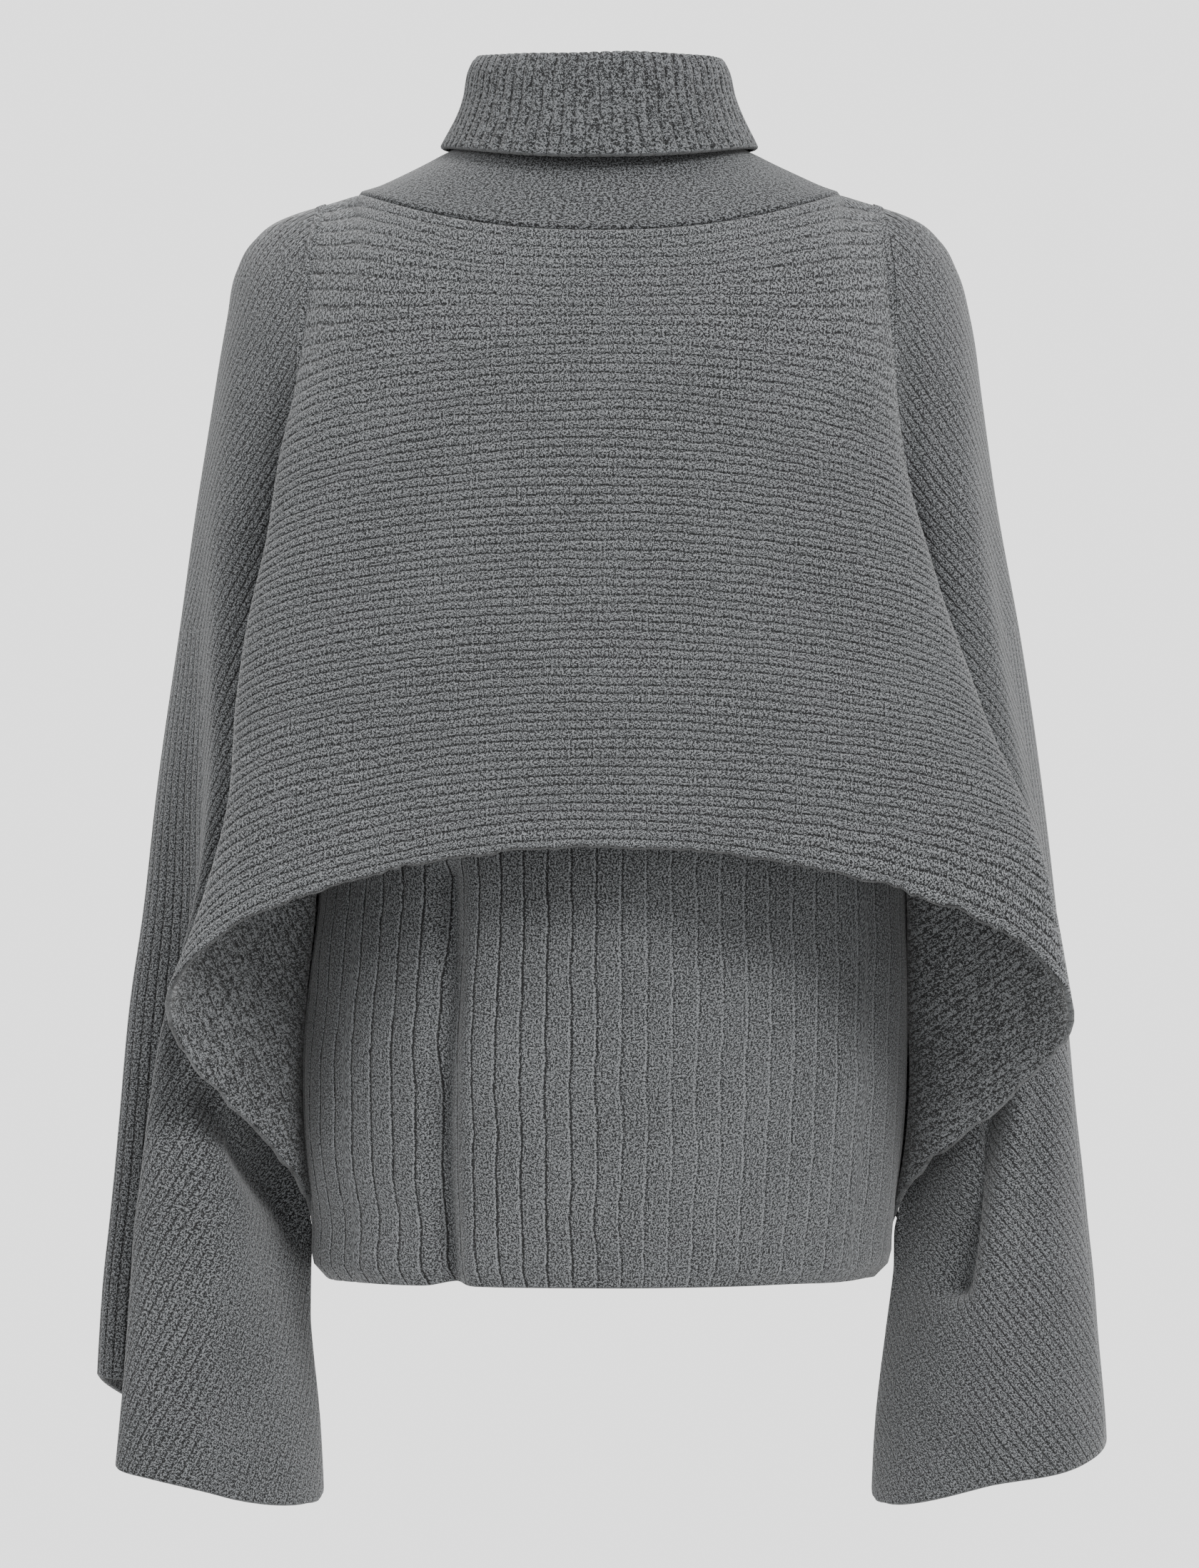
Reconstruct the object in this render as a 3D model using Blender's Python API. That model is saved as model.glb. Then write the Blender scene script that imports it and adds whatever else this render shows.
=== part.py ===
"""Roll-neck cape sweater in rib knit, as it is worn, with the sleeves hanging.

A close sleeveless body is covered by a dolman cape. The cape is knitted sideways, so its ribs run
from the centre out along the arms. Its front edge sweeps out to the arms, where the front folds
back behind itself to a valley, and the sleeve runs on from that valley to a wide open cuff.

Frame: +Z up, +X to the right of a viewer in front, the front faces -Y. The origin is at the base
of the neck, level with the tops of the shoulders, midway between them.

The tables are in millimetres, seen from one side of the garment: "out" is the distance from the
middle, "deep" grows from the front to the back, and "drop" is the distance below the origin.
"""

import math

import bpy
import numpy as np

MM = 0.001

# Cloth
WALL = 2.0 * MM
RIB_RELIEF = 0.9 * MM
SEAM_GAP = 0.3 * MM
HEM_CORNER_GAP = 5.0 * MM

# Ribs: each raised rib stands for two of the knitted ones on the cape, sleeves and collar
CAPE_RIBS = 32
SLEEVE_RIBS = 16
COLLAR_RIBS = 36
BODY_RIBS = 27

# Straight steps that two sewn pieces share: along half an armhole, along a quarter of the neck
ARMHOLE_STEPS = 2 * SLEEVE_RIBS
NECK_STEPS = 6
BODY_NECK_STEPS = 17

# Neck
NECKLINE_OUT = 139.0
NECKLINE_FRONT = -100.0
NECKLINE_BACK = 80.0
NECKLINE_RISE_SIDE = 11.5
NECKLINE_RISE_FRONT = -14.4
NECKLINE_RISE_BACK = 14.0
SHOULDER_END_OUT = 162.0
SHOULDER_END_RISE = 4.0
FOLD_START_OUT = 157.0

# Tilt of the cloth's normal at the neckline, in degrees: in the middle and on the shoulder
SEAM_TILT_FRONT = (25.0, 69.0)
SEAM_TILT_BACK = (32.0, 69.0)

# How the close body's top edge hangs inside the cape's
BODY_INSET = 5.0
BODY_LOWER = 4.0
BODY_TOP_REACH = 60.0
BODY_ROUND_FRONT = 2.3
BODY_ROUND_BACK = 2.1

# Colours of the heathered grey wool, linear
CAPE_GREY = (0.165, 0.168, 0.171)
SLEEVE_GREY = (0.150, 0.153, 0.156)
BODY_GREY = (0.158, 0.160, 0.163)
COLLAR_GREY = (0.140, 0.142, 0.144)

LEFT, RIGHT = -1, 1
FULLY_TURNED = 0.999
DRAPE_POWER = 3.0
TOP_EDGE_REACH = 0.16
FOLD_BACK_END_TURN = 88.0


class Table:
    """Rows of named columns; a smooth curve through the rows gives the values between them."""

    def __init__(self, columns, rows):
        self.columns = columns
        data = np.array(rows, float)
        self.keys, self.values = data[:, 0], data[:, 1:]
        step = np.diff(self.keys)[:, None]
        slope = np.diff(self.values, axis=0) / step
        inner = (slope[:-1] * step[1:] + slope[1:] * step[:-1]) / (step[:-1] + step[1:])
        self.slopes = np.vstack([slope[:1], inner, slope[-1:]])

    def at(self, key):
        key = min(max(key, self.keys[0]), self.keys[-1])
        row = min(int(np.searchsorted(self.keys, key, side="right")) - 1, len(self.keys) - 2)
        span = self.keys[row + 1] - self.keys[row]
        return hermite(
            self.values[row], self.values[row + 1],
            self.slopes[row] * span, self.slopes[row + 1] * span,
            (key - self.keys[row]) / span,
        )


def hermite(start, end, start_tangent, end_tangent, share):
    square, cube = share * share, share * share * share
    return (
        start * (2 * cube - 3 * square + 1) + start_tangent * (cube - 2 * square + share)
        + end * (3 * square - 2 * cube) + end_tangent * (cube - square)
    )


def heading(degrees):
    """Unit vector in plan; 0 points outwards and 90 to the back."""
    return np.array([math.cos(math.radians(degrees)), math.sin(math.radians(degrees))])


def along(points, start_heading, end_heading, share):
    """Plan point at a share of a smooth curve through the points."""
    points = np.array(points)
    lengths = np.linalg.norm(np.diff(points, axis=0), axis=1) + 1e-6
    slopes = np.diff(points, axis=0) / lengths[:, None]
    before, after = lengths[:-1, None], lengths[1:, None]
    inner = (slopes[:-1] * after + slopes[1:] * before) / (before + after)
    tangents = np.vstack([[start_heading], inner, [end_heading]])
    place = min(max(share, 0.0), 1.0) * lengths.sum()
    ends = np.cumsum(lengths)
    span = min(int(np.searchsorted(ends, place)), len(lengths) - 1)
    length = lengths[span]
    return hermite(
        points[span], points[span + 1], tangents[span] * length, tangents[span + 1] * length,
        (place - ends[span] + length) / length,
    )


# The middle of the cape's front and back, by rib: 0 at the neckline, 1 at the hem
CENTRE_COLUMNS = ("rib", "deep", "drop")
FRONT_CENTRE = Table(CENTRE_COLUMNS, (
    (0.00, -100, 14),
    (0.10, -109, 51),
    (0.25, -119, 105),
    (0.45, -128, 176),
    (0.70, -139, 261),
    (1.00, -150, 363),
))
BACK_CENTRE = Table(CENTRE_COLUMNS, (
    (0.00, 80, -14),
    (0.06, 89, 3),
    (0.15, 99, 38),
    (0.35, 110, 112),
    (0.60, 116, 215),
    (1.00, 122, 385),
))
BACK_ROUND = Table(("rib", "round"), (
    (0.00, 0.70),
    (0.60, 0.75),
    (0.80, 0.90),
    (1.00, 0.99),
))

# The edge where the front folds back, by rib; "round" is how far the profile has turned there
FOLD_COLUMNS = ("rib", "out", "deep", "drop", "round")
FOLD_EDGE = {
    LEFT: Table(FOLD_COLUMNS, (
        (0.00, 157, 0, -6, 0.70),
        (0.05, 162, -36, 13, 0.80),
        (0.10, 165, -55, 43, 0.88),
        (0.17, 171, -71, 95, 0.97),
        (0.28, 181, -81, 145, 0.999),
        (0.45, 192, -90, 205, 0.999),
        (0.65, 204, -100, 277, 0.999),
        (0.85, 213, -110, 358, 0.999),
        (0.93, 228, -116, 409, 0.999),
        (1.00, 247, -121, 449, 0.999),
    )),
    RIGHT: Table(FOLD_COLUMNS, (
        (0.00, 157, 0, -6, 0.70),
        (0.05, 161, -36, 13, 0.80),
        (0.10, 163, -55, 43, 0.88),
        (0.17, 167, -71, 95, 0.97),
        (0.28, 173, -81, 148, 0.999),
        (0.45, 189, -90, 208, 0.999),
        (0.65, 215, -100, 283, 0.999),
        (0.85, 246, -110, 352, 0.999),
        (0.93, 258, -116, 392, 0.999),
        (1.00, 269, -122, 455, 0.999),
    )),
}

# Drop of each rib where it meets the sleeve, in front and behind
ARMHOLE_DROP = Table(("rib", "drop"), (
    (0.00, -4),
    (0.05, 17),
    (0.10, 47),
    (0.17, 97),
    (0.28, 150),
    (0.45, 228),
    (0.65, 333),
    (0.85, 453),
    (1.00, 581),
))

# The same, to find the last rib that has reached the sleeve at a drop
RIB_PLACES = np.linspace(0.0, 1.0, 201)
RIB_DROPS = np.array([ARMHOLE_DROP.at(place)[0] for place in RIB_PLACES])

# Sections of the sleeves, by drop. "front in" is the valley behind the front panel, "back in" the
# same place behind; from the underarm down they are the sides of the narrow underarm seam. "turn"
# is the heading of the cloth there. A fold and a crease part the sleeve's front from its outer lobe.
SLEEVE_COLUMNS = (
    "drop", "front in out", "front in deep", "front in turn", "front out", "front deep",
    "fold out", "fold deep", "crease out", "crease deep", "outer out", "outer deep",
    "back out", "back deep", "back in out", "back in deep", "back in turn",
)
SLEEVE = {
    LEFT: Table(SLEEVE_COLUMNS, (
        (-4, 162, 0, 35, 162, 0, 162, 0, 162, 0, 162, 0, 162, 0, 162, 0, -35),
        (4, 164, -18, 35, 170, -16, 176, -12, 181, -7, 184, 0, 174, 14, 164, 18, -35),
        (16, 167, -33, 35, 178, -28, 188, -20, 195, -10, 199, 1, 186, 24, 167, 33, -35),
        (33, 169, -47, 35, 184, -40, 197, -29, 204, -15, 208, 2, 192, 35, 169, 46, -35),
        (60, 171, -59, 38, 189, -50, 203, -35, 210, -18, 213, 3, 196, 45, 170, 60, -33),
        (107, 171, -63, 45, 190, -54, 208, -40, 217, -20, 221, 3, 201, 55, 169, 72, -30),
        (170, 171, -56, 30, 193, -54, 213, -44, 225, -22, 231, 3, 206, 64, 169, 80, -28),
        (240, 172, -46, 20, 197, -55, 217, -48, 227, -28, 240, 3, 212, 70, 168, 84, -28),
        (330, 172, -30, 15, 200, -54, 221, -50, 228, -30, 253, 2, 220, 72, 169, 74, -28),
        (402, 173, -14, 10, 204, -46, 233, -47, 230, -26, 262, 0, 224, 68, 174, 52, -35),
        (453, 175, -3, 5, 208, -40, 247, -43, 236, -21, 270, -1, 226, 62, 178, 38, -45),
        (515, 176, -2, 0, 210, -40, 257, -42, 241, -19, 276, -4, 228, 57, 177, 27, -50),
        (550, 171, -1, -5, 211, -44, 261, -43, 242, -19, 279, -7, 228, 55, 173, 19, -30),
        (581, 166, 1, -10, 212, -50, 265, -44, 242, -20, 282, -9, 228, 53, 167, 8, 20),
        (610, 168, 1, -45, 213, -54, 267, -44, 243, -20, 285, -10, 228, 51, 168, 7, 55),
        (640, 166, -1, -68, 214, -56, 269, -45, 243, -20, 287, -10, 228, 50, 166, 5, 76),
        (690, 161, -3, -80, 215, -58, 273, -45, 245, -20, 289, -10, 227, 48, 161, 3, 84),
        (745, 158, -4, -85, 216, -59, 278, -45, 248, -19, 290, -10, 226, 47, 158, 2, 86),
    )),
    RIGHT: Table(SLEEVE_COLUMNS, (
        (-4, 162, 0, 35, 162, 0, 162, 0, 162, 0, 162, 0, 162, 0, 162, 0, -35),
        (4, 164, -18, 35, 170, -16, 175, -12, 179, -7, 182, 0, 173, 14, 164, 18, -35),
        (16, 166, -33, 35, 177, -28, 186, -20, 192, -10, 196, 1, 185, 24, 166, 33, -35),
        (33, 168, -47, 35, 183, -40, 195, -29, 202, -15, 205, 2, 190, 35, 168, 46, -35),
        (60, 169, -59, 38, 187, -50, 202, -35, 209, -18, 212, 3, 195, 45, 169, 60, -33),
        (107, 168, -63, 45, 188, -54, 206, -40, 215, -20, 219, 3, 200, 55, 168, 72, -30),
        (170, 169, -56, 30, 190, -55, 210, -46, 221, -25, 228, 3, 205, 64, 168, 80, -28),
        (240, 172, -46, 20, 197, -58, 222, -48, 231, -26, 240, 3, 211, 70, 169, 84, -28),
        (330, 177, -30, 15, 206, -56, 240, -43, 247, -20, 253, 2, 220, 72, 171, 74, -28),
        (402, 181, -14, 10, 210, -46, 251, -36, 258, -18, 262, 0, 224, 68, 178, 52, -35),
        (453, 181, -3, 5, 212, -40, 256, -32, 265, -18, 268, -1, 227, 62, 182, 38, -45),
        (515, 182, -2, 0, 214, -38, 261, -33, 271, -20, 274, -4, 229, 57, 182, 27, -50),
        (550, 178, -1, -5, 215, -42, 263, -37, 274, -22, 278, -7, 229, 55, 178, 19, -30),
        (581, 171, 1, -10, 216, -48, 266, -40, 277, -25, 281, -9, 230, 53, 172, 8, 20),
        (610, 169, 1, -45, 216, -53, 268, -42, 280, -26, 284, -10, 230, 51, 169, 7, 55),
        (640, 165, -1, -68, 217, -56, 270, -42, 283, -26, 286, -10, 230, 50, 165, 5, 76),
        (690, 159, -3, -80, 218, -58, 274, -43, 287, -27, 290, -10, 229, 48, 159, 3, 84),
        (745, 156, -4, -85, 219, -59, 277, -43, 289, -27, 292, -10, 228, 47, 156, 2, 86),
    )),
}

# Drop of the cuffs' edges, by the share of the way from the underarm seam to the overarm seam
CUFF_COLUMNS = ("share", "front", "back")
CUFF_DROP = {
    LEFT: Table(CUFF_COLUMNS, (
        (0.00, 738, 738),
        (0.10, 738, 733),
        (0.50, 722, 705),
        (0.66, 712, 693),
        (0.80, 684, 683),
        (1.00, 669, 669),
    )),
    RIGHT: Table(CUFF_COLUMNS, (
        (0.00, 738, 738),
        (0.10, 738, 735),
        (0.50, 725, 722),
        (0.75, 717, 712),
        (0.90, 707, 704),
        (1.00, 698, 698),
    )),
}

# The close body under the cape, by the drop of its side edge: shoulder, armhole, side seam, hem
BODY_COLUMNS = (
    "drop", "left out", "right out", "front deep", "side deep front", "side deep back",
    "back deep", "middle drop front", "middle drop back",
)
BODY = Table(BODY_COLUMNS, (
    (4, 156, 156, -94, 0, 0, 74, 18, -10),
    (60, 148, 148, -98, -38, 38, 88, 70, 50),
    (120, 142, 142, -103, -48, 50, 96, 124, 112),
    (170, 148, 149, -106, -24, 26, 98, 170, 164),
    (196, 154, 156, -107, 0, 0, 98, 196, 192),
    (300, 158, 170, -108, 0, 0, 96, 300, 300),
    (402, 162, 177, -107, 0, 0, 93, 402, 402),
    (475, 171, 174, -106, 0, 0, 92, 475, 475),
    (585, 160, 165, -104, 0, 0, 92, 585, 585),
    (610, 163, 163, -104, 0, 0, 93, 611, 611),
))

# The collar, from the neckline seam up to the roll and down again outside
COLLAR_COLUMNS = ("share", "out", "front", "back", "rise side", "rise front", "rise back")
COLLAR = Table(COLLAR_COLUMNS, (
    (0.00, 139.0, -100, 80, 11.5, -14.4, 14),
    (0.12, 118, -88, 74, 20, 2, 22),
    (0.24, 93, -75, 66, 31.5, 20, 34),
    (0.34, 73, -65, 59, 43, 40, 46),
    (0.44, 66, -60, 55, 62, 60, 62),
    (0.55, 64.5, -58, 53, 81, 80, 80),
    (0.60, 68, -61, 56, 87, 86, 86),
    (0.65, 71.5, -65, 60, 82, 81, 81),
    (0.76, 75, -70, 64, 66, 64, 66),
    (0.88, 79.5, -76, 69, 53, 47, 53),
    (1.00, 89, -85, 76, 37.5, 28.5, 38),
))
COLLAR_TOP_SHARE = 0.60

# Columns of the cape's meshes, shares of the way across: on the neckline, then on the shoulder
# and, in front, over the fold and back to the valley
NECK_OUTS = [NECKLINE_OUT * math.sin(math.radians(90 * step / NECK_STEPS))
             for step in range(NECK_STEPS + 1)]
FRONT_COLUMNS = [out / FOLD_START_OUT for out in NECK_OUTS] + [
    0.94, 0.98, 1.0, 1.25, 1.55, 1.82, 2.0]
BACK_COLUMNS = [out / SHOULDER_END_OUT for out in NECK_OUTS] + [0.93, 1.0]

# Levels of the other meshes
SLEEVE_LEVELS = (0.0, 0.13, 0.27, 0.42, 0.58, 0.78, 1.0)
BODY_LEVELS = (4, 60, 120, 170, 196, 300, 402, 475, 585, 610)
COLLAR_LEVELS = (0.0, 0.12, 0.24, 0.34, 0.46, 0.56, 0.60, 0.65, 0.76, 0.88, 1.0)

# Rows kept by the plain inside of the cape's meshes
INSIDE_ROWS = (0, 1, 2, 4, 6, 9, 12, 18, 26, 36, 44, 48, 52, 54, 56, 58, 61, 64)


def placed(side, out, deep, drop):
    return np.array([side * out, deep, -drop]) * MM


def neckline(out, front, inset=0.0, lower=0.0):
    """Depth and drop of the top edge, neckline then shoulder, at a distance from the middle."""
    neck_out = NECKLINE_OUT - inset
    part = min(out / neck_out, 1.0)
    depth = NECKLINE_FRONT + inset if front else NECKLINE_BACK - inset
    middle = NECKLINE_RISE_FRONT if front else NECKLINE_RISE_BACK
    rise = middle + (NECKLINE_RISE_SIDE - middle) * part ** 2.2
    if out > neck_out:
        past = (out - neck_out) / (SHOULDER_END_OUT - NECKLINE_OUT)
        rise = NECKLINE_RISE_SIDE + (SHOULDER_END_RISE - NECKLINE_RISE_SIDE) * past
    return depth * math.sqrt(1 - part * part), lower - rise


def draped(across, turned, edge, middle):
    """Depth of a panel draped from its middle to its edge, where it has turned towards the side."""
    turned = min(turned, FULLY_TURNED)
    profile_end = math.sqrt(1 - turned ** DRAPE_POWER)
    profile = math.sqrt(1 - (across * turned) ** DRAPE_POWER)
    return edge + (middle - edge) * (profile - profile_end) / (1 - profile_end)


def front_panel(side, across, rib):
    """The front from its middle (across 0) to its folded edge (1), in table units."""
    centre_deep, centre_drop = FRONT_CENTRE.at(rib)
    fold_out, fold_deep, fold_drop, turned = FOLD_EDGE[side].at(rib)
    sag = 0.74 * across ** 2.1 + 0.26 * across ** 14
    deep = draped(across, turned, fold_deep, centre_deep)
    return fold_out * across, deep, centre_drop + (fold_drop - centre_drop) * sag


def back_panel(side, across, rib):
    """The back from its middle (across 0) to the armhole (1), in table units."""
    centre_deep, centre_drop = BACK_CENTRE.at(rib)
    end_out, end_deep, end_drop = armhole(side, False, rib)
    deep = draped(across, BACK_ROUND.at(rib)[0], end_deep, centre_deep)
    return end_out * across, deep, centre_drop + (end_drop - centre_drop) * across ** 2.2


def edge_heading(panel_surface, side, rib):
    """Plan heading, in degrees, of a panel where it reaches its edge."""
    near, end = (np.array(panel_surface(side, across, rib)[:2]) for across in (0.9995, 1.0))
    step = end - near
    return math.degrees(math.atan2(step[1], step[0]))


def with_top_edge(panel_surface, side, across, rib, front):
    """A panel's point, moved near the top so that its top edge follows neckline and shoulder."""
    out, deep, drop = panel_surface(side, across, rib)
    if rib < TOP_EDGE_REACH:
        _, edge_deep, edge_drop = panel_surface(side, across, 0)
        seam_deep, seam_drop = neckline(out, front)
        ease = (1 - rib / TOP_EDGE_REACH) ** 2
        deep += (seam_deep - edge_deep) * ease
        drop += (seam_drop - edge_drop) * ease
    return placed(side, out, deep, drop)


def armhole(side, front, rib):
    """Where a rib crosses from the cape to the sleeve, in table units."""
    drop = ARMHOLE_DROP.at(rib)[0]
    row = SLEEVE[side].at(drop)
    out, deep = row[0:2] if front else row[13:15]
    return out, deep, drop


def armhole_turns(side, front, rib):
    """Headings at the armhole of the cape's panel, which ends there, and of the sleeve."""
    row = SLEEVE[side].at(ARMHOLE_DROP.at(rib)[0])
    if front:
        late = min(max((rib - 0.08) / 0.25, 0.0), 1.0)
        return row[2] + (FOLD_BACK_END_TURN - row[2]) * late, row[2]
    return edge_heading(back_panel, side, rib), row[15]


def cape_front(side, across, rib):
    """The cape's front: across 0 is its middle, 1 its folded edge, 2 the valley behind that."""
    if across <= 1:
        return with_top_edge(front_panel, side, across, rib, True)
    fold_out, fold_deep, fold_drop = front_panel(side, 1, rib)
    end_out, end_deep, end_drop = armhole(side, True, rib)
    if rib == 0:
        out = fold_out + (end_out - fold_out) * (across - 1)
        return placed(side, out, *neckline(out, True))
    start, end = np.array([fold_out, fold_deep]), np.array([end_out, end_deep])
    reach = np.linalg.norm(end - start)
    late = min(rib / 0.4, 1.0)
    out, deep = hermite(
        start, end,
        heading(edge_heading(front_panel, side, rib)) * reach * (1 - 0.5 * late),
        heading(armhole_turns(side, True, rib)[0]) * reach * (1 + 0.35 * late),
        across - 1,
    )
    return placed(side, out, deep, fold_drop + (end_drop - fold_drop) * (across - 1))


def cape_back(side, across, rib):
    """The cape's back: across 0 is its middle, 1 the armhole valley."""
    return with_top_edge(back_panel, side, across, rib, False)


def sleeve_section(side, front, share, drop):
    """Plan point of a sleeve at one height, from its inner edge (share 0) to its outer (1)."""
    row = SLEEVE[side].at(drop)
    outer = row[9:11]
    if front:
        points = [row[0:2], row[3:5], row[5:7], row[7:9], outer]
        return along(points, heading(row[2]), heading(90), share)
    return along([row[13:15], row[11:13], outer], heading(row[15]), heading(-90), share)


def sleeve(side, front, rib, level):
    """A sleeve's point and normal: rib 0 is the overarm seam and 1 the underarm seam, level 0 is
    the armhole and 1 the cuff; near the shoulder the levels lie closer."""
    start_drop = ARMHOLE_DROP.at(rib)[0]
    cuff_drop = CUFF_DROP[side].at(1 - rib)[0 if front else 1]
    drop = start_drop + (cuff_drop - start_drop) * level ** (2.2 - 1.2 * rib)
    last = max(np.interp(drop, RIB_DROPS, RIB_PLACES), rib)
    share = 1 - rib / last if rib else 1.0
    step = 0.01
    near, far = (placed(side, *sleeve_section(side, front, min(max(share + move, 0), 1), drop), drop)
                 for move in (-step, step))
    upper, lower = (placed(side, *sleeve_section(side, front, share, drop + move), drop + move)
                    for move in (-100 * step, 100 * step))
    normal = unit(np.cross(far - near, lower - upper))
    out, deep = sleeve_section(side, front, share, drop)
    return placed(side, out, deep, drop), normal * (-side if front else side)


def under_body(side, front, across, level):
    """The close body: across 0 is its middle, 1 its side edge; level is the side edge's drop."""
    out, deep, drop = body_panel(side, front, across, level)
    top = BODY.keys[0]
    if level < top + BODY_TOP_REACH:
        _, edge_deep, edge_drop = body_panel(side, front, across, top)
        seam_deep, seam_drop = neckline(out, front, BODY_INSET, BODY_LOWER)
        ease = (1 - (level - top) / BODY_TOP_REACH) ** 2
        deep += (seam_deep - edge_deep) * ease
        drop += (seam_drop - edge_drop) * ease
    return placed(side, out, deep, drop)


def body_panel(side, front, across, level):
    """The close body before its top edge is fitted to the neck, in table units."""
    row = BODY.at(level)
    side_out = row[0] if side == LEFT else row[1]
    middle_deep, edge_deep = (row[2], row[3]) if front else (row[5], row[4])
    middle_drop = row[6] if front else row[7]
    power = BODY_ROUND_FRONT if front else BODY_ROUND_BACK
    deep = edge_deep + (middle_deep - edge_deep) * math.sqrt(max(1 - across ** power, 0.0))
    return side_out * across, deep, middle_drop + (level - middle_drop) * across ** 2


def collar(angle, share):
    """The collar: angle 0 is the middle front, growing towards +X; share runs up and over."""
    out, front, back, rise_side, rise_front, rise_back = COLLAR.at(share)
    sine, cosine = math.sin(angle), math.cos(angle)
    deep, middle = (front, rise_front) if cosine >= 0 else (back, rise_back)
    rise = middle + (rise_side - middle) * abs(sine) ** 2.2
    return placed(RIGHT, out * sine, deep * abs(cosine), -rise)


def grid_of(surface, columns, rows):
    return np.array([[surface(column, row) for column in columns] for row in rows])


def unit(vector):
    return vector / np.linalg.norm(vector)


def grid_normals(grid, closed=False):
    """Unit normals of a grid of points, from its neighbours along both directions."""
    if closed:
        across = np.roll(grid, -1, axis=1) - np.roll(grid, 1, axis=1)
    else:
        across = np.gradient(grid, axis=1)
    down = np.gradient(grid, axis=0)
    normals = np.cross(across, down)
    return normals / np.linalg.norm(normals, axis=2, keepdims=True)


def neck_seam_normal(side, out, front):
    """Normal that cape and collar share at the neckline, and front and back on the shoulder."""
    part = min(out / NECKLINE_OUT, 1.0)
    depth = NECKLINE_FRONT if front else NECKLINE_BACK
    plan = unit(np.array([side * part / NECKLINE_OUT, math.sqrt(1 - part * part) / depth]))
    level, steep = SEAM_TILT_FRONT if front else SEAM_TILT_BACK
    tilt = math.radians(level + (steep - level) * part * part)
    return np.array([*(plan * math.cos(tilt)), math.sin(tilt)])


def neck_seam(side, out, front):
    """A point of the neckline seam, its normal and the direction from the cape to the collar."""
    point = placed(side, out, *neckline(out, front))
    normal = neck_seam_normal(side, out, front)
    sideways = np.array([-normal[1], normal[0], 0.0])
    across = unit(np.cross(normal, sideways))
    return point, normal, across if across[2] > 0 else -across


def armhole_seam(side, front, rib):
    """A point of the armhole seam, its normal and the direction from the cape to the sleeve."""
    point = placed(side, *armhole(side, front, rib))
    if rib == 0:
        normal = neck_seam_normal(side, SHOULDER_END_OUT, front)
        return point, normal, np.array([side * normal[2], 0.0, -abs(normal[0])])
    turn = sum(armhole_turns(side, front, rib)) / 2
    step = 0.5 / ARMHOLE_STEPS
    before, after = (placed(side, *armhole(side, front, min(rib + move, 1.0)))
                     for move in (-step, step))
    ahead = heading(turn)
    ahead = np.array([side * ahead[0], ahead[1], 0.0])
    normal = unit(np.cross(ahead, after - before))
    outward = np.array([side * ahead[1], -side * ahead[0], 0.0])
    if normal @ outward * (1 if front else -1) < 0:
        normal = -normal
    across = unit(np.cross(normal, after - before))
    return point, normal, across if across @ ahead > 0 else -across


def seam_between(seam, knots, place):
    """A seam's point, normal and direction at a place (0 to 1), straight between its knots."""
    start = min(int(place * knots + 1e-9), knots - 1)
    share = place * knots - start
    return [near * (1 - share) + far * share
            for near, far in zip(seam(start / knots), seam((start + 1) / knots))]


def rib_heights(count):
    """Relief at the points across a panel with this many ribs: groove, crest, groove, ..."""
    return np.array([RIB_RELIEF * (index % 2) for index in range(2 * count + 1)])


def add_quads(faces, rows):
    """Quads between rows of vertices."""
    for upper, lower in zip(rows[:-1], rows[1:]):
        for index in range(len(upper) - 1):
            faces.append((upper[index], upper[index + 1], lower[index + 1], lower[index]))


def add_zip(faces, upper, lower):
    """Triangles between two edges, each a list of (place along the edge, vertex)."""
    first, second = 0, 0
    while first < len(upper) - 1 or second < len(lower) - 1:
        if second == len(lower) - 1 or (
                first < len(upper) - 1 and upper[first + 1][0] <= lower[second + 1][0]):
            faces.append((upper[first][1], upper[first + 1][1], lower[second][1]))
            first += 1
        else:
            faces.append((upper[first][1], lower[second + 1][1], lower[second][1]))
            second += 1


def make_object(name, vertices, faces, finish):
    mesh = bpy.data.meshes.new(name)
    mesh.from_pydata([tuple(vertex) for vertex in vertices], [], faces)
    mesh.validate()
    mesh.update()
    mesh.shade_smooth()
    mesh.set_sharp_from_angle(angle=math.radians(12))
    mesh.materials.append(finish)
    thing = bpy.data.objects.new(name, mesh)
    bpy.context.scene.collection.objects.link(thing)
    return thing


def panel(name, middle, normals, relief, inside_rows, edge_rows, finish):
    """A closed wall from a grid of mid-surface points, ribbed outside, plainer inside."""
    outer = middle + normals * (WALL / 2 + relief[..., None])
    inner = middle - normals * (WALL / 2)
    row_count, column_count = outer.shape[:2]
    outside = np.arange(row_count * column_count).reshape(row_count, column_count)
    vertices = list(outer.reshape(-1, 3))
    inside = []
    for column in range(column_count):
        rows = edge_rows if column in (0, column_count - 1) else inside_rows
        inside.append([(row, len(vertices) + index) for index, row in enumerate(rows)])
        vertices += [inner[row, column] for row in rows]
    faces = []
    add_quads(faces, outside.tolist())
    for near, far in zip(inside[:-1], inside[1:]):
        add_zip(faces, near, far)
    top = [column[0][1] for column in inside]
    bottom = [column[-1][1] for column in inside]
    add_quads(faces, [outside[0, ::-1].tolist(), top[::-1]])
    add_quads(faces, [outside[-1].tolist(), bottom])
    rows = range(row_count)
    add_zip(faces, list(zip(rows, outside[:, 0].tolist())), inside[0])
    backwards = [(-row, vertex) for row, vertex in inside[-1][::-1]]
    add_zip(faces, [(-row, int(outside[row, -1])) for row in rows[::-1]], backwards)
    return make_object(name, vertices, faces, finish)


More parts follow.
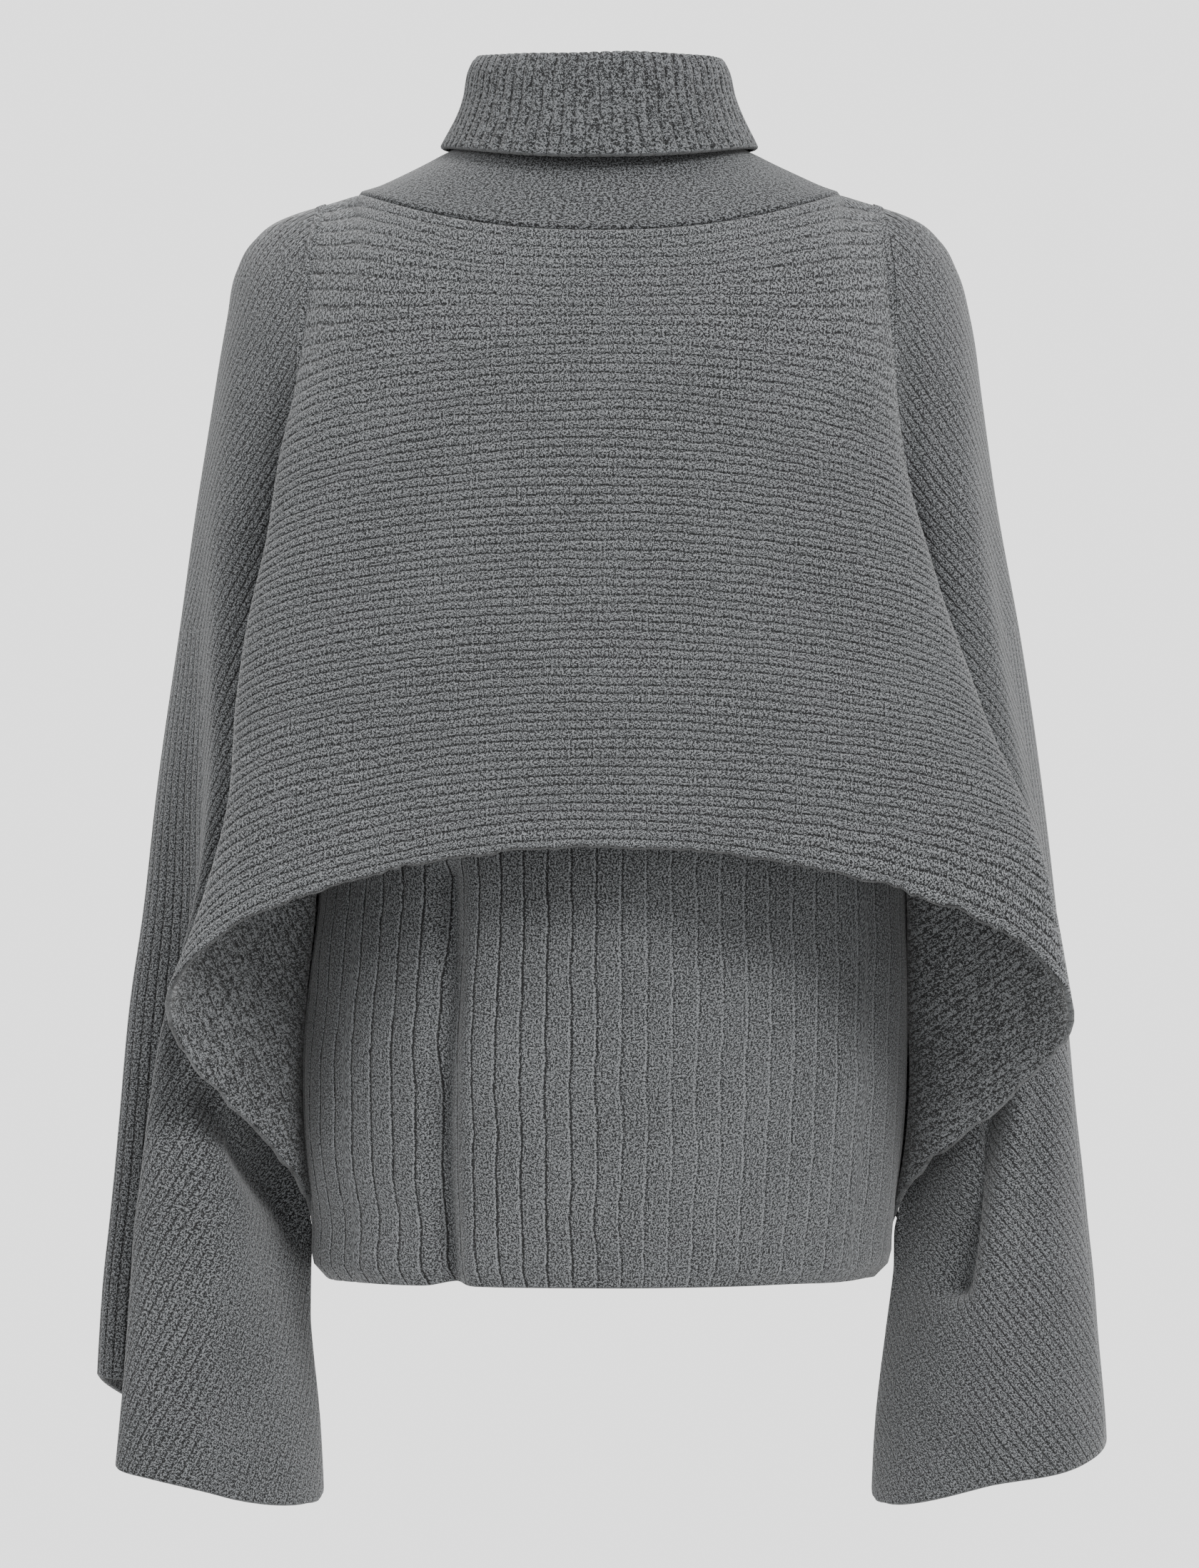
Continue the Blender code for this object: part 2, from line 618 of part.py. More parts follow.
def tube(name, middle, normals, outer_relief, inner_relief, finish):
    """A closed wall from rings of mid-surface points, open at both ends of the tube."""
    outer = middle + normals * (WALL / 2 + outer_relief[..., None])
    inner = middle - normals * (WALL / 2 + inner_relief[..., None])
    ring_count, around = middle.shape[:2]
    vertices = list(outer.reshape(-1, 3)) + list(inner.reshape(-1, 3))
    outside = np.arange(ring_count * around).reshape(ring_count, around)
    outside = np.hstack([outside, outside[:, :1]])
    inside = outside + ring_count * around
    faces = []
    add_quads(faces, outside.tolist())
    add_quads(faces, inside[:, ::-1].tolist())
    add_quads(faces, [outside[0, ::-1].tolist(), inside[0, ::-1].tolist()])
    add_quads(faces, [outside[-1].tolist(), inside[-1].tolist()])
    return make_object(name, vertices, faces, finish)


def both_sides(surface, columns, rows):
    """Grid of a panel with a left and a right half that share the middle column."""
    left = grid_of(lambda column, row: surface(LEFT, column, row), columns[:0:-1], rows)
    right = grid_of(lambda column, row: surface(RIGHT, column, row), columns, rows)
    return np.concatenate([left, right], axis=1)


def apart(front):
    """Half a seam's gap towards the own side of the seam between a front and a back."""
    return np.array([0.0, -SEAM_GAP / 2 if front else SEAM_GAP / 2, 0.0])


def build_cape_panel(name, front, finish):
    """The cape's front or back: ribs across, seams on neckline, shoulders and armholes."""
    surface, columns = (cape_front, FRONT_COLUMNS) if front else (cape_back, BACK_COLUMNS)
    ribs = np.linspace(0.0, 1.0, 2 * CAPE_RIBS + 1)
    middle = both_sides(surface, columns, ribs)
    normals = grid_normals(middle) * (-1 if front else 1)
    for column in range(middle.shape[1]):
        point = middle[0, column]
        side, out = (RIGHT if point[0] > 0 else LEFT), abs(point[0]) / MM
        point, normals[0, column], across = neck_seam(side, out, front)
        on_neck, on_shoulder = out < NECKLINE_OUT + 0.01, out > NECKLINE_OUT - 0.01
        middle[0, column] = point - across * (SEAM_GAP / 2 * on_neck) + apart(front) * on_shoulder
    for side, edge in ((LEFT, 0), (RIGHT, -1)):
        for row, rib in enumerate(ribs):
            point, normal, across = seam_between(
                lambda place: armhole_seam(side, front, place), ARMHOLE_STEPS, rib)
            normals[row, edge] = normal
            middle[row, edge] = point - across * SEAM_GAP / 2
        middle[0, edge] += apart(front)
        middle[-1, edge] += apart(front) * (HEM_CORNER_GAP / SEAM_GAP)
        normals[-1, edge] = (side, 0.0, 0.0)
        middle[-2, edge] = (middle[-3, edge] + middle[-1, edge]) / 2
        normals[-2, edge] = (normals[-3, edge] + normals[-1, edge]) / 2
    if front:
        middle, normals = middle[:, ::-1], normals[:, ::-1]
    relief = np.tile(rib_heights(CAPE_RIBS)[:, None], (1, middle.shape[1]))
    edge_rows = range(0, 2 * CAPE_RIBS + 1, 2 * CAPE_RIBS // ARMHOLE_STEPS)
    return panel(name, middle, normals, relief, INSIDE_ROWS, edge_rows, finish)


def build_sleeve(name, side, finish):
    """A sleeve: rings of points from the armhole to the cuff, ribs running down it."""
    ribs = np.linspace(0.0, 1.0, ARMHOLE_STEPS + 1)
    places = [(True, rib) for rib in ribs] + [(False, rib) for rib in ribs[:0:-1]]
    relief = np.concatenate([rib_heights(SLEEVE_RIBS), rib_heights(SLEEVE_RIBS)[:0:-1]])
    rings = np.array([[sleeve(side, front, rib, level) for front, rib in places]
                      for level in SLEEVE_LEVELS])
    middle, normals = rings[:, :, 0], rings[:, :, 1]
    for index, (front, rib) in enumerate(places):
        if rib < 1:
            point, normals[0, index], across = armhole_seam(side, front, rib)
            middle[0, index] = point + across * SEAM_GAP / 2
    if side == LEFT:
        middle, normals, relief = middle[:, ::-1], normals[:, ::-1], relief[::-1]
    relief = np.tile(relief, (middle.shape[0], 1))
    return tube(name, middle, normals, relief, relief * 0, finish)


def build_under_body(name, front, finish):
    """The close body's front or back: ribs up and down, so its grid is turned for the panel."""
    power = BODY_ROUND_FRONT if front else BODY_ROUND_BACK
    corner = math.asin(((NECKLINE_OUT - BODY_INSET) / BODY.values[0, 0]) ** (power / 2))
    turns = [*np.linspace(0.0, corner, BODY_NECK_STEPS + 1)[:-1],
             *np.linspace(corner, math.pi / 2, BODY_RIBS - BODY_NECK_STEPS + 1)]
    columns = [math.sin(turn) ** (2 / power) for turn in turns]
    middle = both_sides(lambda side, across, level: under_body(side, front, across, level),
                        columns, BODY_LEVELS)
    normals = grid_normals(middle) * (-1 if front else 1)
    for column in range(middle.shape[1]):
        point = middle[0, column]
        side, out = (RIGHT if point[0] > 0 else LEFT), abs(point[0]) / MM + BODY_INSET
        normals[0, column] = neck_seam_normal(side, out, front)
        if out > NECKLINE_OUT - 0.01:
            middle[0, column] = point + apart(front)
    for side, edge in ((LEFT, 0), (RIGHT, -1)):
        for row, level in enumerate(BODY_LEVELS):
            if row and BODY.at(level)[3] == 0:
                normals[row, edge] = (side, 0.0, 0.0)
                middle[row, edge] += apart(front)
    relief = np.tile(rib_heights(BODY_RIBS), (middle.shape[0], 1))
    if not front:
        middle, normals = middle[:, ::-1], normals[:, ::-1]
    middle, normals, relief = (np.swapaxes(grid, 0, 1) for grid in (middle, normals, relief))
    rows = range(0, 2 * BODY_RIBS + 1, 2)
    return panel(name, middle, normals, relief, rows, rows, finish)


def collar_seam(side, front):
    """The neckline seam of one quarter, by the share of a right angle from the middle."""
    return lambda place: neck_seam(side, NECKLINE_OUT * math.sin(math.pi / 2 * place), front)


def build_collar(finish):
    """The roll neck: one tube, ribbed on the side that shows on each part of its way."""
    count = 2 * COLLAR_RIBS
    quarter = count // 4
    angles = np.linspace(0.0, 2 * math.pi, count + 1)[:-1]
    middle = grid_of(collar, angles, COLLAR_LEVELS)
    normals = grid_normals(middle, closed=True)
    for index in range(count):
        front = index <= quarter or index >= 3 * quarter
        steps = min(index, count - index) if front else abs(index - 2 * quarter)
        side = RIGHT if index <= 2 * quarter else LEFT
        point, normals[0, index], across = seam_between(
            collar_seam(side, front), NECK_STEPS, steps / quarter)
        middle[0, index] = point + across * SEAM_GAP / 2
    ribs = np.array([RIB_RELIEF * (index % 2) for index in range(count)])
    up = np.array([0 < level < COLLAR_TOP_SHARE - 0.1 for level in COLLAR_LEVELS])[:, None]
    down = np.array([level > COLLAR_TOP_SHARE for level in COLLAR_LEVELS])[:, None]
    return tube("roll_collar", middle, normals, up * ribs, down * ribs, finish)


def knit_finish(name, colour, roughness=0.95):
    finish = bpy.data.materials.new(name)
    finish.use_nodes = True
    shader = finish.node_tree.nodes["Principled BSDF"]
    shader.inputs["Base Color"].default_value = (*colour, 1.0)
    shader.inputs["Roughness"].default_value = roughness
    shader.inputs["Metallic"].default_value = 0.0
    finish.diffuse_color = (*colour, 1.0)
    return finish


def main():
    for thing in list(bpy.data.objects):
        bpy.data.objects.remove(thing)
    build_cape_panel("cape_front", True, knit_finish("cape_front_knit", CAPE_GREY))
    build_cape_panel("cape_back", False, knit_finish("cape_back_knit", CAPE_GREY))
    build_sleeve("sleeve_left", LEFT, knit_finish("sleeve_left_knit", SLEEVE_GREY))
    build_sleeve("sleeve_right", RIGHT, knit_finish("sleeve_right_knit", SLEEVE_GREY))
    build_under_body("under_body_front", True, knit_finish("body_front_knit", BODY_GREY))
    build_under_body("under_body_back", False, knit_finish("body_back_knit", BODY_GREY))
    build_collar(knit_finish("collar_knit", COLLAR_GREY))


main()
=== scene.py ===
"""Roll-neck cape sweater in heathered grey rib knit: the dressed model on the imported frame.

Every piece is a thin two-sided shell of cloth that stays close to its solid's surface, with the
knitted ribs at their real count, soft creases, and a procedural knit. The tables are in
millimetres, seen from one side: "out" is the distance from the middle, "deep" grows to the back and
"drop" is the distance below the base of the neck. Front is -Y and +X is a viewer's right.
"""

import logging
import math
from dataclasses import dataclass, field
from enum import Enum
from typing import Callable, Optional, Sequence, Tuple

import bmesh
import bpy
import numpy as np
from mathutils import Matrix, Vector


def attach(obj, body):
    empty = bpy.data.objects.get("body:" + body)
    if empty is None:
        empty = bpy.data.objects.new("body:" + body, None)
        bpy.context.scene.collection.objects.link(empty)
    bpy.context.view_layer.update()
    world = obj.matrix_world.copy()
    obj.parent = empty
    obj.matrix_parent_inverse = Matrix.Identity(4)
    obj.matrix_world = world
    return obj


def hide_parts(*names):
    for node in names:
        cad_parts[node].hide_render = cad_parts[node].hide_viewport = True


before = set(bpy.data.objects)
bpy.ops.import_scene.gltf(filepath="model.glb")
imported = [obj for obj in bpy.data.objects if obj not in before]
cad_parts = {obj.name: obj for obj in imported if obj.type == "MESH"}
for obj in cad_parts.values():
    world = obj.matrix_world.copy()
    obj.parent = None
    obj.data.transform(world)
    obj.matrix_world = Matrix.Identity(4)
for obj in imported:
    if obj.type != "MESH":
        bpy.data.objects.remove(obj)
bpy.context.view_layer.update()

LOG = logging.getLogger("sweater")
MM = 0.001
Array = np.ndarray
Socket = bpy.types.NodeSocket

# Places at which a curve is measured, the least length of a vector, and a distance that is none
DENSE, LEAST_LENGTH, NONE_APART = 1500, 1e-12, 1e-6


class Side(Enum):
    """Side of the garment, as the sign of x."""

    LEFT = -1
    RIGHT = 1


def hermite(start: Array, end: Array, start_tangent: Array, end_tangent: Array,
            share: Array) -> Array:
    """Point of a cubic curve between two points with given tangents.

    Args:
        start: The first point, with its parts on the last axis.
        end: The last point.
        start_tangent: The tangent at the first point.
        end_tangent: The tangent at the last point.
        share: The share of the way.

    Returns:
        The point at that share.
    """
    square, cube = share * share, share * share * share
    return (
        start * (2 * cube - 3 * square + 1) + start_tangent * (cube - 2 * square + share)
        + end * (3 * square - 2 * cube) + end_tangent * (cube - square)
    )


def smoothstep(low: float, high: float, value: Array) -> Array:
    """0 below low, 1 above high and smooth between."""
    share = np.clip((value - low) / (high - low), 0.0, 1.0)
    return share * share * (3 - 2 * share)


def inside(place: Array, end: float, reach: float) -> Array:
    """1 between 0 and an end, falling smoothly to 0 at both over a reach."""
    return smoothstep(0, reach, place) * smoothstep(0, reach, end - place)


def both_sides(columns: Array, half: Callable[[Side], Array]) -> Array:
    """Points of the left half where columns are below 0, and of the right half elsewhere."""
    return np.where((columns < 0)[..., None], half(Side.LEFT), half(Side.RIGHT))


class Table:
    """Rows of numbers by a key; a smooth curve through the rows gives the values between them."""

    def __init__(self, *rows: Sequence[float]) -> None:
        """Keeps the rows and works out the slope at each.

        Args:
            rows: The key of each row, then its values.
        """
        data = np.array(rows, float)
        self.keys, self.values = data[:, 0], data[:, 1:]
        step = np.diff(self.keys)[:, None]
        slope = np.diff(self.values, axis=0) / step
        inner = (slope[:-1] * step[1:] + slope[1:] * step[:-1]) / (step[:-1] + step[1:])
        self.slopes = np.vstack([slope[:1], inner, slope[-1:]])

    def at(self, key: Array) -> Array:
        """Values at each key, on a last axis that is put first.

        Args:
            key: Any shape of keys.

        Returns:
            One array of the keys' shape for each column.
        """
        key = np.clip(key, self.keys[0], self.keys[-1])
        row = np.clip(np.searchsorted(self.keys, key, side="right") - 1, 0, len(self.keys) - 2)
        span = (self.keys[row + 1] - self.keys[row])[..., None]
        values = hermite(
            self.values[row], self.values[row + 1],
            self.slopes[row] * span, self.slopes[row + 1] * span,
            (key - self.keys[row])[..., None] / span,
        )
        return np.moveaxis(values, -1, 0)


def unit(vectors: Array) -> Array:
    """Vectors of length 1 along the last axis."""
    return vectors / np.maximum(np.linalg.norm(vectors, axis=-1, keepdims=True), LEAST_LENGTH)


def heading(degrees: Array) -> Array:
    """Unit vectors in plan; 0 points outwards and 90 to the back."""
    turn = np.radians(degrees)
    return np.stack([np.cos(turn), np.sin(turn)], axis=-1)


def placed(side: Side, out: Array, deep: Array, drop: Array) -> Array:
    """Points in metres from table units."""
    return np.stack([side.value * out, deep, -drop], axis=-1) * MM


def along(points: Array, start_heading: Array, end_heading: Array, share: Array) -> Array:
    """Plan points at shares of smooth curves, each through its own points.

    Args:
        points: The curves' points, on the axes (place, point, out and deep).
        start_heading: The direction of each curve at its start.
        end_heading: The direction of each curve at its end.
        share: The share of the way along each curve.

    Returns:
        Plan points on the axes (place, out and deep).
    """
    steps = np.diff(points, axis=1)
    lengths = np.linalg.norm(steps, axis=2) + NONE_APART
    slopes = steps / lengths[..., None]
    before, after = lengths[:, :-1, None], lengths[:, 1:, None]
    inner = (slopes[:, :-1] * after + slopes[:, 1:] * before) / (before + after)
    tangents = np.concatenate([start_heading[:, None], inner, end_heading[:, None]], axis=1)
    ends = np.cumsum(lengths, axis=1)
    place = np.clip(share, 0.0, 1.0) * ends[:, -1]
    span = np.minimum((ends < place[:, None]).sum(axis=1), lengths.shape[1] - 1)
    row = np.arange(len(share))
    length = lengths[row, span][:, None]
    return hermite(
        points[row, span], points[row, span + 1],
        tangents[row, span] * length, tangents[row, span + 1] * length,
        (place - ends[row, span])[:, None] / length + 1,
    )


def evenly(curve: Callable[[Array], Array], start: float, end: float, count: int) -> Array:
    """Parameters that part a curve into equal lengths.

    Args:
        curve: Points for an array of parameters.
        start: The first parameter.
        end: The last parameter.
        count: How many parameters are wanted.

    Returns:
        The parameters, in order.
    """
    dense = np.linspace(start, end, DENSE)
    lengths = np.linalg.norm(np.diff(curve(dense), axis=0), axis=-1)
    total = np.concatenate([[0.0], np.cumsum(lengths)])
    return np.interp(np.linspace(0, total[-1], count), total, dense)


# --- The form of the garment, within some millimetres of its solids -----------------------------

# Neckline and shoulder
NECK_OUT, NECK_FRONT, NECK_BACK = 139.0, -100.0, 80.0
NECK_RISE_SIDE, NECK_RISE_FRONT, NECK_RISE_BACK = 11.5, -14.4, 14.0
SHOULDER_OUT, SHOULDER_RISE = 162.0, 4.0
NECK_CURVE = 2.2

# Top of the cape, by rib: how far down the form is moved to the neckline, how late its depth
# follows, and where a folded-back side has left the seam
TOP_EDGE_REACH, TOP_DEPTH_EASE, TOP_SEAM_REACH = 0.16, 1.6, 0.04

# How the cape is rounded from its middle to its sides, and how its edges sag (share and power)
DRAPE_POWER, FULLY_TURNED = 3.0, 0.999
FRONT_SAG, BACK_SAG_POWER = ((0.74, 2.1), (0.26, 14)), 2.2

# Folded-back side: the heading with which it meets the sleeve and the ribs over which that turns,
# the place just before the fold, and the rib from which its curve swells by a share
FOLD_BACK_TURN, FOLD_TURN_START, FOLD_TURN_SPAN = 88.0, 0.08, 0.25
BEFORE_FOLD, FOLD_SWELL_RIB, FOLD_SWELL = 0.9995, 0.4, 0.1

# Middle of the cape by rib (0 at the neckline, 1 at the hem): deep, drop
FRONT_CENTRE = Table(
    (0.00, -100, 14), (0.10, -109, 51), (0.25, -119, 105), (0.45, -128, 176), (0.70, -139, 261),
    (1.00, -150, 363))
BACK_CENTRE = Table(
    (0.00, 80, -14), (0.06, 89, 3), (0.15, 99, 38), (0.35, 110, 112), (0.60, 116, 215),
    (1.00, 122, 385))
BACK_ROUND = Table((0.00, 0.70), (0.60, 0.75), (0.80, 0.90), (1.00, 0.99))

# Edge where the front folds back, by rib: out, deep, drop, how far the profile has turned
FOLD_EDGE = {
    Side.LEFT: Table(
        (0.00, 157, 0, -6, 0.70), (0.05, 162, -36, 13, 0.80), (0.10, 165, -55, 43, 0.88),
        (0.17, 171, -71, 95, 0.97), (0.28, 181, -81, 145, 0.999), (0.45, 192, -90, 205, 0.999),
        (0.65, 204, -100, 277, 0.999), (0.85, 213, -110, 356, 0.999), (0.93, 226, -116, 403, 0.999),
        (1.00, 242, -121, 444, 0.999)),
    Side.RIGHT: Table(
        (0.00, 157, 0, -6, 0.70), (0.05, 161, -36, 13, 0.80), (0.10, 163, -55, 43, 0.88),
        (0.17, 167, -71, 95, 0.97), (0.28, 173, -81, 148, 0.999), (0.45, 189, -90, 208, 0.999),
        (0.65, 215, -100, 283, 0.999), (0.85, 244, -110, 350, 0.999), (0.93, 255, -116, 387, 0.999),
        (1.00, 265, -122, 448, 0.999)),
}

# Drop of each rib where it meets the sleeve
ARMHOLE_DROP = Table(
    (0.00, -4), (0.05, 17), (0.10, 47), (0.17, 97), (0.28, 150), (0.45, 228), (0.65, 333),
    (0.85, 453), (1.00, 581))
RIB_PLACES = np.linspace(0.0, 1.0, 201)
RIB_DROPS = ARMHOLE_DROP.at(RIB_PLACES)[0]

# How levels crowd towards the armhole on a sleeve: the power at the overarm, and its loss below
LEVEL_POWER, LEVEL_POWER_LOSS = 2.2, 1.2

# Sleeve sections by drop: front in (out, deep, heading), front, fold, crease, outer, back (out,
# deep of each), back in (out, deep, heading)
SLEEVE_FORM = {
    Side.LEFT: Table(
        (-4, 162, 0, 35, 162, 0, 162, 0, 162, 0, 162, 0, 162, 0, 162, 0, -35),
        (4, 164, -18, 35, 170, -16, 176, -12, 181, -7, 184, 0, 174, 14, 164, 18, -35),
        (16, 167, -33, 35, 178, -28, 188, -20, 195, -10, 199, 1, 186, 24, 167, 33, -35),
        (33, 169, -47, 35, 184, -40, 197, -29, 204, -15, 208, 2, 192, 35, 169, 46, -35),
        (60, 171, -59, 38, 189, -50, 203, -35, 210, -18, 213, 3, 196, 45, 170, 60, -33),
        (107, 171, -63, 45, 190, -54, 208, -40, 217, -20, 221, 3, 201, 55, 169, 72, -30),
        (170, 171, -56, 30, 193, -54, 213, -44, 225, -22, 231, 3, 206, 64, 169, 80, -28),
        (240, 168, -46, 20, 197, -55, 217, -48, 227, -28, 240, 3, 212, 70, 168, 84, -28),
        (330, 166, -30, 15, 200, -54, 221, -50, 228, -30, 253, 2, 220, 72, 169, 74, -28),
        (402, 165.5, -16, 10, 204, -46, 233, -47, 230, -26, 262, 0, 224, 68, 174, 52, -35),
        (453, 170.5, -6, 5, 208, -40, 247, -43, 236, -21, 270, -1, 226, 62, 178, 38, -45),
        (515, 173, -2, 0, 210, -40, 257, -42, 241, -19, 276, -4, 228, 57, 177, 27, -50),
        (550, 170, -1, -5, 211, -44, 261, -43, 242, -19, 279, -7, 228, 55, 173, 19, -30),
        (581, 165.5, 1, -10, 212, -50, 265, -44, 242, -20, 282, -9, 228, 53, 167, 8, 20),
        (610, 166, 1, -45, 213, -54, 267, -44, 243, -20, 285, -10, 228, 51, 168, 7, 55),
        (640, 166, -1, -68, 214, -56, 269, -45, 243, -20, 287, -10, 228, 50, 166, 5, 76),
        (690, 161, -3, -80, 215, -58, 273, -45, 245, -20, 289, -10, 227, 48, 161, 3, 84),
        (745, 158, -4, -85, 216, -59, 278, -45, 248, -19, 290, -10, 226, 47, 158, 2, 86)),
    Side.RIGHT: Table(
        (-4, 162, 0, 35, 162, 0, 162, 0, 162, 0, 162, 0, 162, 0, 162, 0, -35),
        (4, 164, -18, 35, 170, -16, 175, -12, 179, -7, 182, 0, 173, 14, 164, 18, -35),
        (16, 166, -33, 35, 177, -28, 186, -20, 192, -10, 196, 1, 185, 24, 166, 33, -35),
        (33, 168, -47, 35, 183, -40, 195, -29, 202, -15, 205, 2, 190, 35, 168, 46, -35),
        (60, 169, -59, 38, 187, -50, 202, -35, 209, -18, 212, 3, 195, 45, 169, 60, -33),
        (107, 168, -63, 45, 188, -54, 206, -40, 215, -20, 219, 3, 200, 55, 168, 72, -30),
        (170, 169, -56, 30, 190, -55, 210, -46, 221, -25, 228, 3, 205, 64, 168, 80, -28),
        (240, 172, -46, 20, 197, -58, 222, -48, 231, -26, 240, 3, 211, 70, 169, 84, -28),
        (330, 174, -30, 15, 206, -56, 240, -43, 247, -20, 253, 2, 220, 72, 171, 74, -28),
        (402, 179, -15, 10, 210, -46, 251, -36, 258, -18, 262, 0, 224, 68, 178, 52, -35),
        (453, 179, -6, 5, 212, -40, 256, -32, 265, -18, 268, -1, 227, 62, 182, 38, -45),
        (515, 180, -2, 0, 214, -38, 261, -33, 271, -20, 274, -4, 229, 57, 180, 27, -50),
        (550, 176.5, -1, -5, 215, -42, 263, -37, 274, -22, 278, -7, 229, 55, 177, 19, -30),
        (581, 170, 1, -10, 216, -48, 266, -40, 277, -25, 281, -9, 230, 53, 172, 8, 20),
        (610, 169, 1, -45, 216, -53, 268, -42, 280, -26, 284, -10, 230, 51, 169, 7, 55),
        (640, 165, -1, -68, 217, -56, 270, -42, 283, -26, 286, -10, 230, 50, 165, 5, 76),
        (690, 159, -3, -80, 218, -58, 274, -43, 287, -27, 290, -10, 229, 48, 159, 3, 84),
        (745, 156, -4, -85, 219, -59, 277, -43, 289, -27, 292, -10, 228, 47, 156, 2, 86)),
}

# Drop of the cuffs, by the share of the way from the underarm to the overarm: front, back
CUFF_DROP = {
    Side.LEFT: Table((0.00, 731, 731), (0.03, 736, 735), (0.10, 738, 733), (0.50, 722, 705),
                     (0.66, 710, 693), (0.80, 677, 680), (1.00, 665, 665)),
    Side.RIGHT: Table((0.00, 731, 731), (0.03, 736, 736), (0.10, 738, 735), (0.50, 725, 722),
                      (0.75, 717, 712), (0.90, 707, 704), (1.00, 698, 698)),
}

# Close body by the drop of its side edge: left out, right out, front deep, side deep in front and
# behind, back deep, drop of the middle in front and behind
BODY_FORM = Table(
    (4, 156, 156, -94, 0, 0, 74, 18, -10), (60, 148, 148, -98, -38, 38, 88, 70, 50),
    (120, 142, 142, -103, -48, 50, 96, 124, 112), (170, 148, 149, -106, -24, 26, 98, 170, 164),
    (196, 154, 156, -107, 0, 0, 98, 196, 192), (300, 158, 170, -108, 0, 0, 96, 300, 300),
    (402, 162, 177, -107, 0, 0, 93, 402, 402), (475, 170, 177, -106, 0, 0, 92, 475, 475),
    (530, 169.5, 174.5, -105, 0, 0, 92, 530, 530), (585, 165, 168, -104, 0, 0, 92, 585, 585),
    (598, 165, 167, -104, 0, 0, 93, 598, 598), (605, 162.5, 164, -104, 0, 0, 93, 605.5, 605.5),
    (610, 157, 158, -104, 0, 0, 93, 611, 611))
BODY_INSET, BODY_LOWER, BODY_TOP_REACH = 5.0, 4.0, 60.0
BODY_ROUND_FRONT, BODY_ROUND_BACK = 2.3, 2.1

# Collar by share, up from the neckline and down again outside: out, front, back, rises of the
# side, the front and the back
COLLAR_FORM = Table(
    (0.00, 139.0, -100, 80, 11.5, -14.4, 14), (0.12, 118, -88, 74, 20, 2, 22),
    (0.24, 93, -75, 66, 31.5, 20, 34), (0.34, 73, -65, 59, 43, 40, 46),
    (0.44, 66, -60, 55, 62, 60, 62), (0.55, 64.5, -58, 53, 81, 80, 80),
    (0.60, 68, -61, 56, 87, 86, 86), (0.65, 71.5, -65, 60, 82, 81, 81),
    (0.76, 75, -70, 64, 66, 64, 66), (0.88, 79.5, -74.5, 69, 53, 47, 53),
    (1.00, 88, -81, 74, 37, 28, 37.5))


def neckline(out: Array, front: bool, inset: float = 0.0,
             lower: float = 0.0) -> Tuple[Array, Array]:
    """Depth and drop of the top edge, neckline then shoulder.

    Args:
        out: Distances from the middle.
        front: Whether it is the front's edge.
        inset: How far inside the neckline the edge lies.
        lower: How far below it the edge lies.

    Returns:
        The depths and the drops.
    """
    neck_out = NECK_OUT - inset
    part = np.minimum(out / neck_out, 1.0)
    depth = NECK_FRONT + inset if front else NECK_BACK - inset
    middle = NECK_RISE_FRONT if front else NECK_RISE_BACK
    rise = middle + (NECK_RISE_SIDE - middle) * part ** NECK_CURVE
    past = np.maximum(out - neck_out, 0.0) / (SHOULDER_OUT - NECK_OUT)
    rise = np.where(out > neck_out, NECK_RISE_SIDE + (SHOULDER_RISE - NECK_RISE_SIDE) * past, rise)
    return depth * np.sqrt(1 - part * part), lower - rise


def draped(across: Array, turned: Array, edge: Array, middle: Array) -> Array:
    """Depth of a panel that is rounded from its middle to its edge.

    Args:
        across: Places from the middle (0) to the edge (1).
        turned: How far it has turned to the side at the edge, 0 to 1.
        edge: The depth at the edge.
        middle: The depth at the middle.

    Returns:
        The depths.
    """
    turned = np.minimum(turned, FULLY_TURNED)
    profile_end = np.sqrt(1 - turned ** DRAPE_POWER)
    profile = np.sqrt(1 - (across * turned) ** DRAPE_POWER)
    return edge + (middle - edge) * (profile - profile_end) / (1 - profile_end)


